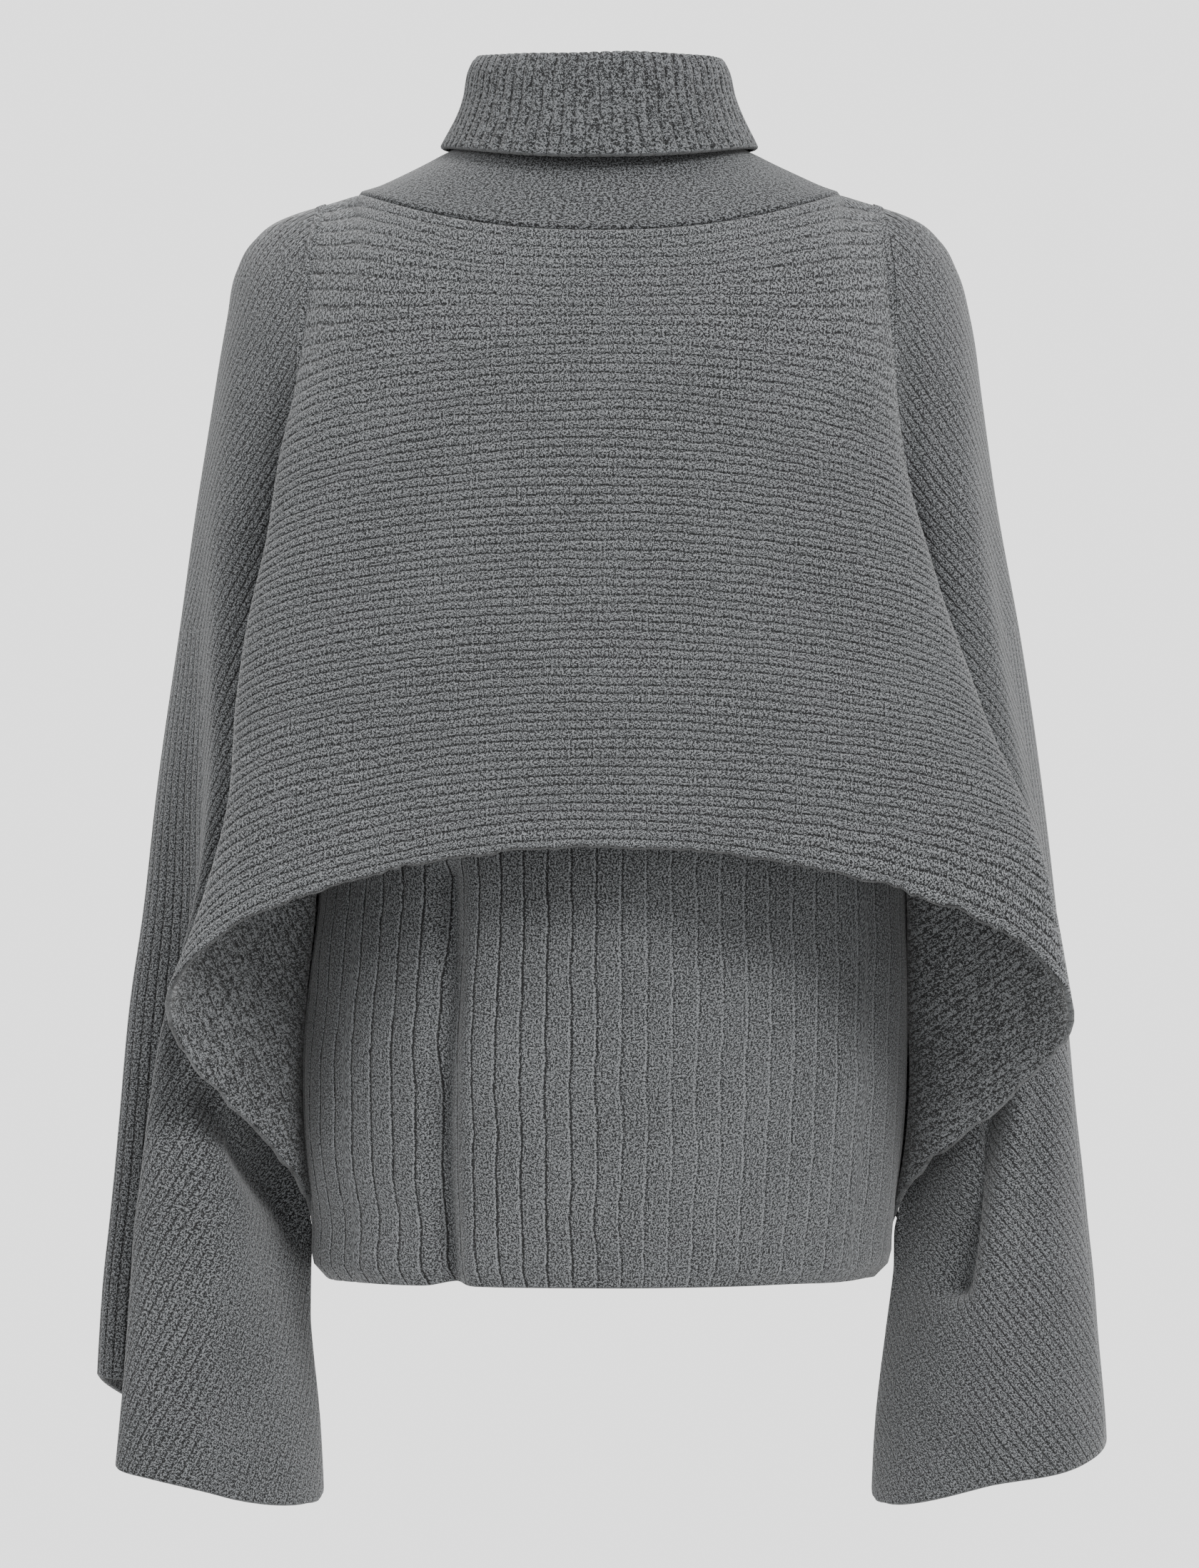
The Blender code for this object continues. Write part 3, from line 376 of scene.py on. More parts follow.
class CapeForm:
    """Surfaces of the cape's front and back."""

    @staticmethod
    def armhole(side: Side, front: bool, rib: Array) -> Tuple[Array, Array, Array]:
        """Where ribs cross from the cape to the sleeve.

        Args:
            side: Which half.
            front: Whether it is the front of the armhole.
            rib: Places from the neckline (0) to the hem (1).

        Returns:
            Out, deep and drop, in table units.
        """
        drop = ARMHOLE_DROP.at(rib)[0]
        row = SLEEVE_FORM[side].at(drop)
        return (row[0], row[1], drop) if front else (row[13], row[14], drop)

    @staticmethod
    def front_panel(side: Side, across: Array, rib: Array) -> Tuple[Array, Array, Array]:
        """The front from its middle to its folded edge.

        Args:
            side: Which half.
            across: Places from the middle (0) to the folded edge (1).
            rib: Places from the neckline (0) to the hem (1), as many.

        Returns:
            Out, deep and drop, in table units.
        """
        centre_deep, centre_drop = FRONT_CENTRE.at(rib)
        fold_out, fold_deep, fold_drop, turned = FOLD_EDGE[side].at(rib)
        sag = sum(weight * across ** power for weight, power in FRONT_SAG)
        deep = draped(across, turned, fold_deep, centre_deep)
        return fold_out * across, deep, centre_drop + (fold_drop - centre_drop) * sag

    @staticmethod
    def back_panel(side: Side, across: Array, rib: Array) -> Tuple[Array, Array, Array]:
        """The back from its middle to the armhole.

        Args:
            side: Which half.
            across: Places from the middle (0) to the armhole (1).
            rib: Places from the neckline (0) to the hem (1), as many.

        Returns:
            Out, deep and drop, in table units.
        """
        centre_deep, centre_drop = BACK_CENTRE.at(rib)
        end_out, end_deep, end_drop = CapeForm.armhole(side, False, rib)
        deep = draped(across, BACK_ROUND.at(rib)[0], end_deep, centre_deep)
        sag = across ** BACK_SAG_POWER
        return end_out * across, deep, centre_drop + (end_drop - centre_drop) * sag

    @staticmethod
    def top_edge(panel: Callable, side: Side, across: Array, rib: Array, front: bool) -> Array:
        """A panel's points, moved near the top so that its edge follows neckline and shoulder.

        Args:
            panel: front_panel or back_panel.
            side: Which half.
            across: Places across the half.
            rib: Places from the neckline (0) to the hem (1), as many.
            front: Whether it is the front.

        Returns:
            The points, in metres.
        """
        out, deep, drop = panel(side, across, rib)
        _, edge_deep, edge_drop = panel(side, across, np.zeros_like(rib))
        seam_deep, seam_drop = neckline(out, front)
        ease = np.clip(1 - rib / TOP_EDGE_REACH, 0.0, 1.0) ** 2
        return placed(side, out, deep + (seam_deep - edge_deep) * ease ** TOP_DEPTH_EASE,
                      drop + (seam_drop - edge_drop) * ease)

    @staticmethod
    def front(side: Side, across: Array, rib: Array) -> Array:
        """The front: across 0 is its middle, 1 its folded edge, 2 the valley behind that.

        Args:
            side: Which half.
            across: Places across the half.
            rib: Places from the neckline (0) to the hem (1), as many.

        Returns:
            The points, in metres.
        """
        panel = CapeForm.top_edge(CapeForm.front_panel, side, np.minimum(across, 1.0), rib, True)
        ones = np.ones_like(rib)
        fold_out, fold_deep, fold_drop = CapeForm.front_panel(side, ones, rib)
        end_out, end_deep, end_drop = CapeForm.armhole(side, True, rib)
        start = np.stack([fold_out, fold_deep], axis=-1)
        end = np.stack([end_out, end_deep], axis=-1)
        near = np.stack(CapeForm.front_panel(side, ones * BEFORE_FOLD, rib)[:2], axis=-1)
        reach = np.linalg.norm(end - start, axis=-1, keepdims=True)
        swell = FOLD_SWELL * np.minimum(rib / FOLD_SWELL_RIB, 1.0)[..., None]
        inward = SLEEVE_FORM[side].at(end_drop)[2]
        turning = np.clip((rib - FOLD_TURN_START) / FOLD_TURN_SPAN, 0.0, 1.0)
        turn = inward + (FOLD_BACK_TURN - inward) * turning
        share = np.maximum(across - 1, 0.0)
        plan = hermite(start, end, unit(start - near) * reach * (1 + swell),
                       heading(turn) * reach * (1 - swell), share[..., None])
        back = placed(side, plan[..., 0], plan[..., 1], fold_drop + (end_drop - fold_drop) * share)
        top_out = fold_out + (end_out - fold_out) * share
        top = placed(side, top_out, *neckline(top_out, True))
        back = top + (back - top) * smoothstep(0.0, TOP_SEAM_REACH, rib)[..., None]
        return np.where((across > 1)[..., None], back, panel)

    @staticmethod
    def back(side: Side, across: Array, rib: Array) -> Array:
        """The back: across 0 is its middle, 1 the armhole valley."""
        return CapeForm.top_edge(CapeForm.back_panel, side, across, rib, False)


def sleeve_place(side: Side, front: bool, rib: Array, level: Array) -> Tuple[Array, Array]:
    """Where points of one half of a sleeve are.

    Args:
        side: Which sleeve.
        front: Whether it is the front half.
        rib: 0 on top of the arm to 1 under it.
        level: 0 at the armhole to 1 at the cuff, as many.

    Returns:
        The drops, and the shares of the way from the inside (0) to the overarm (1).
    """
    start_drop = ARMHOLE_DROP.at(rib)[0]
    cuff_drop = CUFF_DROP[side].at(1 - rib)[0 if front else 1]
    drop = start_drop + (cuff_drop - start_drop) * level ** (LEVEL_POWER - LEVEL_POWER_LOSS * rib)
    last = np.maximum(np.maximum(np.interp(drop, RIB_DROPS, RIB_PLACES), rib), NONE_APART)
    return drop, 1 - rib / last


def sleeve_section(side: Side, front: bool, drop: Array) -> Tuple[Array, Array]:
    """Sections of half a sleeve.

    Args:
        side: Which sleeve.
        front: Whether it is the front half.
        drop: The drop of each section.

    Returns:
        Plan points from the inside to the overarm for each drop, and the headings at the inside.
    """
    row = SLEEVE_FORM[side].at(drop)
    inner, outer = (row[0:3], row[3:9]) if front else (row[13:16], row[11:13])
    points = [inner[:2], *(outer[place:place + 2] for place in range(0, len(outer), 2)), row[9:11]]
    return np.stack([np.stack(list(point), axis=-1) for point in points], axis=1), inner[2]


def sleeve_surface(side: Side, front: bool, rib: Array, level: Array) -> Array:
    """Points of one half of a sleeve.

    Args:
        side: Which sleeve.
        front: Whether it is the front half.
        rib: 0 on top of the arm to 1 under it.
        level: 0 at the armhole to 1 at the cuff, as many.

    Returns:
        The points, in metres.
    """
    drop, share = sleeve_place(side, front, rib, level)
    points, inward = sleeve_section(side, front, drop)
    outward = heading(np.full_like(rib, 90.0 if front else -90.0))
    plan = along(points, heading(inward), outward, share)
    return placed(side, plan[:, 0], plan[:, 1], drop)


def body_surface(side: Side, front: bool, across: Array, level: Array) -> Array:
    """Points of half of the close body's front or back.

    Args:
        side: Which half.
        front: Whether it is the front.
        across: Places from the middle (0) to the side (1).
        level: The drop of the side edge, as many.

    Returns:
        The points, in metres.
    """
    def panel(level: Array) -> Tuple[Array, Array, Array]:
        """The half before its top edge is moved to the neckline.

        Args:
            level: The drop of the side edge.

        Returns:
            Out, deep and drop, in table units.
        """
        row = BODY_FORM.at(level)
        side_out = row[0] if side is Side.LEFT else row[1]
        middle_deep, edge_deep = (row[2], row[3]) if front else (row[5], row[4])
        middle_drop = row[6] if front else row[7]
        power = BODY_ROUND_FRONT if front else BODY_ROUND_BACK
        curve = np.sqrt(np.maximum(1 - across ** power, 0.0))
        return (side_out * across, edge_deep + (middle_deep - edge_deep) * curve,
                middle_drop + (level - middle_drop) * across ** 2)

    out, deep, drop = panel(level)
    top = BODY_FORM.keys[0]
    _, edge_deep, edge_drop = panel(np.full_like(level, top))
    seam_deep, seam_drop = neckline(out, front, BODY_INSET, BODY_LOWER)
    ease = np.clip(1 - (level - top) / BODY_TOP_REACH, 0.0, 1.0) ** 2
    return placed(side, out, deep + (seam_deep - edge_deep) * ease,
                  drop + (seam_drop - edge_drop) * ease)


def collar_surface(angle: Array, share: Array) -> Array:
    """Points of the collar.

    Args:
        angle: 0 in the middle front, growing to +X, in radians.
        share: The share of the way up from the neckline and down again outside, as many.

    Returns:
        The points, in metres.
    """
    out, front, back, rise_side, rise_front, rise_back = COLLAR_FORM.at(share)
    sine, cosine = np.sin(angle), np.cos(angle)
    deep = np.where(cosine >= 0, front, back)
    middle = np.where(cosine >= 0, rise_front, rise_back)
    rise = middle + (rise_side - middle) * np.abs(sine) ** NECK_CURVE
    return placed(Side.RIGHT, out * sine, deep * np.abs(cosine), -rise)


# --- Folds and unevenness -----------------------------------------------------------------------

# Waves in a ripple, and the cape's metres to a step across and down
WAVES, CAPE_SCALE = 9, (0.2, 0.0055)


@dataclass(frozen=True)
class Ripple:
    """Smooth seeded unevenness over a sheet, from crossing waves.

    Attributes:
        seed: Seed of the waves' lengths, directions and starts.
        height: Height of the whole, in the unit that is wanted.
        shortest: The shortest wave, in metres.
        longest: The longest wave.
        scale: Metres of cloth to one step across and one down the sheet's grid.
    """

    seed: int
    height: float
    shortest: float
    longest: float
    scale: Tuple[float, float]

    def at(self, columns: Array, rows: Array) -> Array:
        """Height at places on the sheet.

        Args:
            columns: Places across the sheet.
            rows: Places down the sheet, as many.

        Returns:
            The heights, mostly within plus and minus height.
        """
        across, down = columns * self.scale[0], rows * self.scale[1]
        random = np.random.default_rng(self.seed)
        total = np.zeros_like(across)
        for _ in range(WAVES):
            length = random.uniform(self.shortest, self.longest)
            turn = random.uniform(0, math.pi)
            start = random.uniform(0, 2 * math.pi)
            place = (across * math.cos(turn) + down * math.sin(turn)) / length
            total = total + np.sin(2 * math.pi * place + start)
        return total * self.height / math.sqrt(WAVES)


@dataclass(frozen=True)
class Crease:
    """A soft fold along a path, seen from the front.

    Attributes:
        path: Points of x and z, in millimetres.
        width: Distance from the path at which the fold has lost most of its depth.
        depth: How far the cloth sinks on the path.
    """

    path: Tuple[Tuple[float, float], ...]
    width: float
    depth: float

    def at(self, points: Array) -> Array:
        """How far the cloth sinks at each point.

        Args:
            points: Points of the sheet, in metres.

        Returns:
            The depths, in metres.
        """
        across, rise = points[..., 0] / MM, points[..., 2] / MM
        nearest = np.full(across.shape, np.inf)
        for (x, z), (x2, z2) in zip(self.path[:-1], self.path[1:]):
            run, fall = x2 - x, z2 - z
            share = ((across - x) * run + (rise - z) * fall) / (run * run + fall * fall)
            share = np.clip(share, 0.0, 1.0)
            distance = np.hypot(across - x - run * share, rise - z - fall * share)
            nearest = np.minimum(nearest, distance)
        return self.depth * MM * np.exp(-(nearest / self.width) ** 2)


# --- Cloth pieces -------------------------------------------------------------------------------

@dataclass(frozen=True)
class RibProfile:
    """Section of one raised rib.

    Attributes:
        places: Places across it, from groove (0) to groove (1).
        heights: The heights there, 0 to 1.
    """

    places: Tuple[float, ...]
    heights: Tuple[float, ...]

    def spread(self, ribs: int) -> Tuple[Array, Array]:
        """Places and heights over many ribs, ending in a groove."""
        places = [rib + place for rib in range(ribs) for place in self.places] + [ribs]
        return np.array(places, float), np.array(list(self.heights) * ribs + [0.0])


FINE_RIB = RibProfile((0.0, 0.17, 0.5, 0.83), (0.0, 0.82, 1.0, 0.82))
WIDE_RIB = RibProfile((0.0, 0.07, 0.17, 0.36, 0.5, 0.64, 0.83, 0.93),
                      (0.0, 0.62, 0.9, 0.98, 1.0, 0.98, 0.9, 0.62))

# Height of plain knit, as a share of a rib's; a rounded edge's bulge, as a share of the wall, and
# its rows: the share of the way inside, and of the bulge
PLAIN = 0.8
EDGE_BULGE, EDGE_ROWS = 0.45, ((0.15, 0.7), (0.5, 1.0), (0.85, 0.7))

# Parts of a point's knit: along, count and side; how plainly the ribs show; along and count of ribs
# that run another way; and whether they do
PATTERN, SHOWN, TURNED, IS_TURNED = slice(0, 3), 3, slice(4, 6), 6


def running(points: Array, axis: int) -> Array:
    """Distance run along an axis of a grid of points.

    Args:
        points: The grid.
        axis: 0 to run over the rows or 1 over the columns.

    Returns:
        The distances from the axis's start, in metres.
    """
    steps = np.linalg.norm(np.diff(points, axis=axis), axis=-1)
    pad = [(0, 0), (0, 0)]
    pad[axis] = (1, 0)
    return np.pad(np.cumsum(steps, axis=axis), pad)


@dataclass
class Cloth:
    """A thin two-sided sheet of rib knit on a surface.

    The sheet is a grid. Its rows run from the seam that holds it to its free edge, round that edge
    and back inside. It hangs from the shoulders.

    Attributes:
        name: The node that it replaces.
        slot: The material slot; not used.
        finish: The material.
        cut: Length and width of the cloth laid flat, in metres; not used.
        area: Its area, one layer, in square metres; not used.
        wall: Thickness of the cloth between its ribs, in metres.
        inset: How far the middle of the cloth lies inside the form.
        relief: Height of the ribs.
        flip: Whether the grid's normals point inwards.
        closed: Whether the last column meets the first.
        creases: Folds at places of their own.
        ripple: Soft folds all over.
        calm_top: The rows between which the folds set in.
        calm_side: How far from the sides they have set in.
    """

    name: str
    slot: str
    finish: bpy.types.Material
    cut: Tuple[float, float]
    area: float
    wall: float = 2.0 * MM
    inset: float = 1.4 * MM
    relief: float = 1.0 * MM
    flip: bool = False
    closed: bool = False
    creases: Tuple[Crease, ...] = ()
    ripple: Ripple = field(kw_only=True)
    calm_top: Tuple[float, float] = field(kw_only=True)
    calm_side: float = field(kw_only=True)

    def rows(self) -> Array:
        """Parameters down the sheet."""
        raise NotImplementedError

    def columns(self) -> Array:
        """Parameters across the sheet."""
        raise NotImplementedError

    def surface(self, rows: Array, columns: Array) -> Array:
        """Points for grids of row and column parameters."""
        raise NotImplementedError

    def raised(self, rows: Array, columns: Array) -> Array:
        """How far the knit stands up at grids of parameters, 0 to 1."""
        raise NotImplementedError

    def from_side(self, columns: Array) -> Array:
        """Distance from the nearer side, in columns' units."""
        raise NotImplementedError

    def creased(self, columns: Array) -> Array:
        """How far creases reach columns, 0 to 1."""
        return np.ones_like(columns)

    def knit(self, points: Array, rows: Array, columns: Array) -> Tuple[Array, Array]:
        """Distance along the ribs, in metres, and count of ribs, for a grid of points."""
        raise NotImplementedError

    def turned(self, points: Array, rows: Array, columns: Array) -> Tuple[Array, Array, Array]:
        """Distance and count of ribs that run another way, and whether they do; here none."""
        return columns, columns, np.zeros_like(columns)

    def ribbing(self, rows: Array, columns: Array) -> Array:
        """How plainly the ribs show, 0 to 1."""
        raise NotImplementedError

    def sink(self, points: Array, rows: Array, columns: Array) -> Array:
        """How far folds push the cloth in.

        Args:
            points: The grid of points.
            rows: Row parameters, as a grid.
            columns: Column parameters, as a grid.

        Returns:
            The depths, in metres.
        """
        total = self.ripple.at(columns, rows)
        for crease in self.creases:
            total = total + crease.at(points) * self.creased(columns)
        sides = smoothstep(0, self.calm_side, self.from_side(columns))
        return total * smoothstep(*self.calm_top, rows) * sides

    def layer(self, inward: bool) -> Tuple[Array, Array]:
        """One side of the sheet.

        Args:
            inward: Whether it is the inside.

        Returns:
            The points and the knit: metres along the ribs, rib count, side, how plainly the ribs
            show, and metres along, rib count and place of ribs that run another way.
        """
        rows, columns = np.meshgrid(self.rows(), self.columns(), indexing="ij")
        points = self.surface(rows, columns)
        points = points - self.normals(points) * self.sink(points, rows, columns)[..., None]
        show = self.ribbing(rows, columns)
        raised = self.relief * (PLAIN + (self.raised(rows, columns) - PLAIN) * show)
        offset = -self.inset + (self.wall / 2 + raised) * (-1 if inward else 1)
        side = np.full_like(show, float(inward))
        knit = np.stack([*self.knit(points, rows, columns), side, show,
                         *self.turned(points, rows, columns)], axis=-1)
        return points + self.normals(points) * offset[..., None], knit

    def normals(self, points: Array) -> Array:
        """Outward normals of the sheet.

        Args:
            points: The grid of points.

        Returns:
            The normals, of length 1.
        """
        across, down = np.gradient(points, axis=1), np.gradient(points, axis=0)
        if self.closed:
            across[:, 0] = across[:, -1] = points[:, 1] - points[:, -2]
            down[:, 0] = down[:, -1] = (down[:, 0] + down[:, -1]) / 2
        normals = unit(np.cross(across, down))
        return -normals if self.flip else normals

    def build(self) -> bpy.types.Object:
        """Returns:
            The piece.
        """
        outer, outer_knit = self.layer(False)
        inner, inner_knit = self.layer(True)
        seam = (outer[:1] + inner[:1]) / 2
        beyond = unit(outer[-1] - outer[-3]) * self.wall * EDGE_BULGE
        edge, edge_knit = [], []
        for share, bulge in EDGE_ROWS:
            edge.append(outer[-1] * (1 - share) + inner[-1] * share + beyond * bulge)
            edge_knit.append(outer_knit[-1] * (1 - share) + inner_knit[-1] * share)
        points = np.concatenate([seam, outer[1:], edge, inner[:0:-1], seam])
        knit = np.concatenate([outer_knit, edge_knit, inner_knit[::-1]])
        if not self.closed:
            for column in (0, -1):
                points[:, column] = (points[:, column] + points[::-1, column]) / 2
        thing = self.mesh(points, knit)
        self.dress(thing)
        return thing

    def mesh(self, points: Array, knit: Array) -> bpy.types.Object:
        """An object from a grid of points, with the knit as attributes.

        Args:
            points: The points, by row and column.
            knit: The knit, by row and column; a face takes one of its two directions of ribs.

        Returns:
            The linked object.
        """
        row_count, column_count = points.shape[:2]
        form = bmesh.new()
        bmesh.ops.create_grid(form, x_segments=column_count - 1, y_segments=row_count - 1, size=1.0)
        mesh = bpy.data.meshes.new(self.name)
        form.to_mesh(mesh)
        flat = np.empty(len(mesh.vertices) * 3, np.float32)
        mesh.vertices.foreach_get("co", flat)
        place = (flat.reshape(-1, 3)[:, :2] + 1) / 2
        column = np.rint(place[:, 0] * (column_count - 1)).astype(int)
        row = np.rint(place[:, 1] * (row_count - 1)).astype(int)
        mesh.vertices.foreach_set("co", points[row, column].astype(np.float32).ravel())
        corner = np.empty(len(mesh.loops), np.int32)
        mesh.loops.foreach_get("vertex_index", corner)
        parts = knit.shape[-1]
        corners = knit[row, column][corner].reshape(-1, 4, parts)
        other = corners[..., IS_TURNED].mean(axis=1) >= 0.5
        corners[other, :, :2] = corners[other][..., TURNED]
        values = corners.reshape(-1, parts).astype(np.float32)
        attribute = mesh.attributes.new("knit", "FLOAT_VECTOR", "CORNER")
        attribute.data.foreach_set("vector", values[:, PATTERN].ravel())
        attribute = mesh.attributes.new("ribbing", "FLOAT", "CORNER")
        attribute.data.foreach_set("value", values[:, SHOWN].ravel())
        form.clear()
        form.from_mesh(mesh)
        bmesh.ops.remove_doubles(form, verts=form.verts, dist=NONE_APART)
        form.to_mesh(mesh)
        form.free()
        if self.flip:
            mesh.flip_normals()
        mesh.update()
        mesh.shade_smooth()
        thing = bpy.data.objects.new(f"{self.name}_knit", mesh)
        bpy.context.scene.collection.objects.link(thing)
        return thing

    def dress(self, thing: bpy.types.Object) -> None:
        """Gives the piece its material and its place in the frame.

        Args:
            thing: The piece.
        """
        thing.data.materials.append(self.finish)
        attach(thing, "root")
        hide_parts(self.name)
        LOG.info("%s: %d faces", thing.name, len(thing.data.polygons))


@dataclass(kw_only=True)
class CapePanel(Cloth):
    """The cape's front or back, whose ribs run across it.

    Rows are counted in ribs from the neckline. Columns are 0 in the middle and 1 at the armhole or,
    in front, at the fold, behind which the side runs on to 2. The ribs of that folded-back side run
    down on the slant and are drawn by the material.

    Attributes:
        front: Whether it is the front.
        rib_count: Ribs from the neckline to the hem.
        column_count: Columns of the grid.
        even_rib: The place down at which the columns are evenly spaced.
        wander: How far ribs leave their line, in ribs.
        calm_wander: Over how many ribs from seam and hem, and how far from the sides, that sets in.
        fray: How the hem's edge wavers, in ribs.
        hem_up: How far that edge lies above the hem's line, in ribs.
        yoke_fade: How much fainter the ribs are at the neckline.
        yoke_rows: The rows between which they become plain to see.
        fold_plain: The column past which the mesh has no ribs.
        fold_slants: Steepness of the folded-back sides' ribs, left and right, in degrees.
        fold_pitch: Distance between those ribs, in millimetres.
    """

    front: bool
    rib_count: int = 67
    column_count: int = 171
    even_rib: float = 0.6
    ripple: Ripple = Ripple(3, 1.1 * MM, 0.07, 0.21, CAPE_SCALE)
    calm_top: Tuple[float, float] = (0.0, 6.0)
    calm_side: float = 0.12
    wander: Ripple = Ripple(11, 0.10, 0.018, 0.07, (0.17, 0.0055))
    calm_wander: Tuple[float, float] = (2.0, 0.06)
    fray: Ripple = Ripple(17, 0.17, 0.006, 0.024, (0.2, 0.0))
    hem_up: float = 0.16
    yoke_fade: float = 0.3
    yoke_rows: Tuple[float, float] = (6.0, 24.0)
    fold_plain: float = 1.03
    fold_slants: Tuple[float, float] = (68.0, 37.0)
    fold_pitch: float = 4.8

    @property
    def end(self) -> float:
        """The column at which a half ends."""
        return 2.0 if self.front else 1.0

    def rows(self) -> Array:
        """Places of the rib profile from the neckline to the hem."""
        return FINE_RIB.spread(self.rib_count)[0]

    def columns(self) -> Array:
        """Places evenly across the cloth.

        Returns:
            The columns, from the left to the right.
        """
        half = evenly(
            lambda across: self.half(Side.RIGHT, across, np.full_like(across, self.even_rib)),
            0.0, self.end, self.column_count // 2 + 1)
        return np.concatenate([-half[:0:-1], half])

    def half(self, side: Side, across: Array, rib: Array) -> Array:
        """Points of one half."""
        return (CapeForm.front if self.front else CapeForm.back)(side, across, rib)

    def from_side(self, columns: Array) -> Array:
        """Distance from the nearer side, in columns' units."""
        return self.end - np.abs(columns)

    def surface(self, rows: Array, columns: Array) -> Array:
        """Points for grids of row and column parameters.

        Args:
            rows: Row parameters; they wander a little, and waver at the hem.
            columns: Column parameters.

        Returns:
            The points, in metres.
        """
        ribs, side_reach = self.calm_wander
        calm = inside(rows, self.rib_count, ribs)
        calm = calm * smoothstep(0, side_reach, self.from_side(columns))
        drift = self.wander.at(columns, rows) * calm
        hem = smoothstep(self.rib_count - 1, self.rib_count, rows)
        drift = drift + (self.fray.at(columns, rows) - self.hem_up) * hem
        rib = (rows + drift) / self.rib_count
        return both_sides(columns, lambda side: self.half(side, np.abs(columns), rib))

    def raised(self, rows: Array, columns: Array) -> Array:
        """How far the knit stands up at grids of parameters, 0 to 1."""
        folded = smoothstep(1.0, self.fold_plain, np.abs(columns))
        return np.interp(rows, *FINE_RIB.spread(self.rib_count)) * (1 - folded) + PLAIN * folded

    def ribbing(self, rows: Array, columns: Array) -> Array:
        """How plainly the ribs show, 0 to 1."""
        shown = 1 - self.yoke_fade + self.yoke_fade * smoothstep(*self.yoke_rows, rows)
        return np.where(np.abs(columns) <= 1, shown, 1.0)

    def turned(self, points: Array, rows: Array, columns: Array) -> Tuple[Array, Array, Array]:
        """The ribs of the folded-back sides.

        Args:
            points: The grid of points.
            rows: Row parameters.
            columns: Column parameters.

        Returns:
            Distance along them, their count, and whether a point is on a folded-back side.
        """
        out, drop = np.abs(points[..., 0]), -points[..., 2]
        steep = np.where(columns < 0, *np.radians(self.fold_slants))
        across, down = np.sin(steep), np.cos(steep)
        return (drop * across - out * down,
                (out * across + drop * down) / (self.fold_pitch * MM),
                (np.abs(columns) > 1).astype(float))

    def knit(self, points: Array, rows: Array, columns: Array) -> Tuple[Array, Array]:
        """Distance along the ribs from the middle, in metres, and count of ribs."""
        total = running(points, 1)
        return total - total[:, total.shape[1] // 2][:, None], rows


@dataclass(kw_only=True)
class RibbedDown(Cloth):
    """A sheet whose ribs run from its seam down to its free edge.

    Rows are 0 at the seam and 1 at the edge. Columns are counted in ribs.

    Attributes:
        rib_count: Ribs across the sheet.
        profile: Section of a rib.
        levels: Rows of the grid.
        wander: How far ribs leave their line, in ribs.
        calm_wander: Over how many ribs from the sides that sets in.
    """

    rib_count: int
    profile: RibProfile
    levels: int
    wander: Ripple
    calm_wander: float

    def rows(self) -> Array:
        """Even places from the seam to the edge."""
        return np.linspace(0, 1, self.levels)

    def columns(self) -> Array:
        """Places of the rib profile across the sheet."""
        return self.profile.spread(self.rib_count)[0]

    def moved(self, rows: Array, columns: Array) -> Array:
        """Columns as the ribs wander from their line."""
        calm = inside(columns, self.rib_count, self.calm_wander)
        return columns + self.wander.at(columns, rows) * calm

    def raised(self, rows: Array, columns: Array) -> Array:
        """How far the knit stands up at grids of parameters, 0 to 1."""
        return np.interp(columns, *self.profile.spread(self.rib_count))

    def from_side(self, columns: Array) -> Array:
        """Distance from the nearer side, in ribs."""
        return np.minimum(columns, self.rib_count - columns)

    def knit(self, points: Array, rows: Array, columns: Array) -> Tuple[Array, Array]:
        """Distance along the ribs, in metres, and count of ribs."""
        return running(points, 0), columns


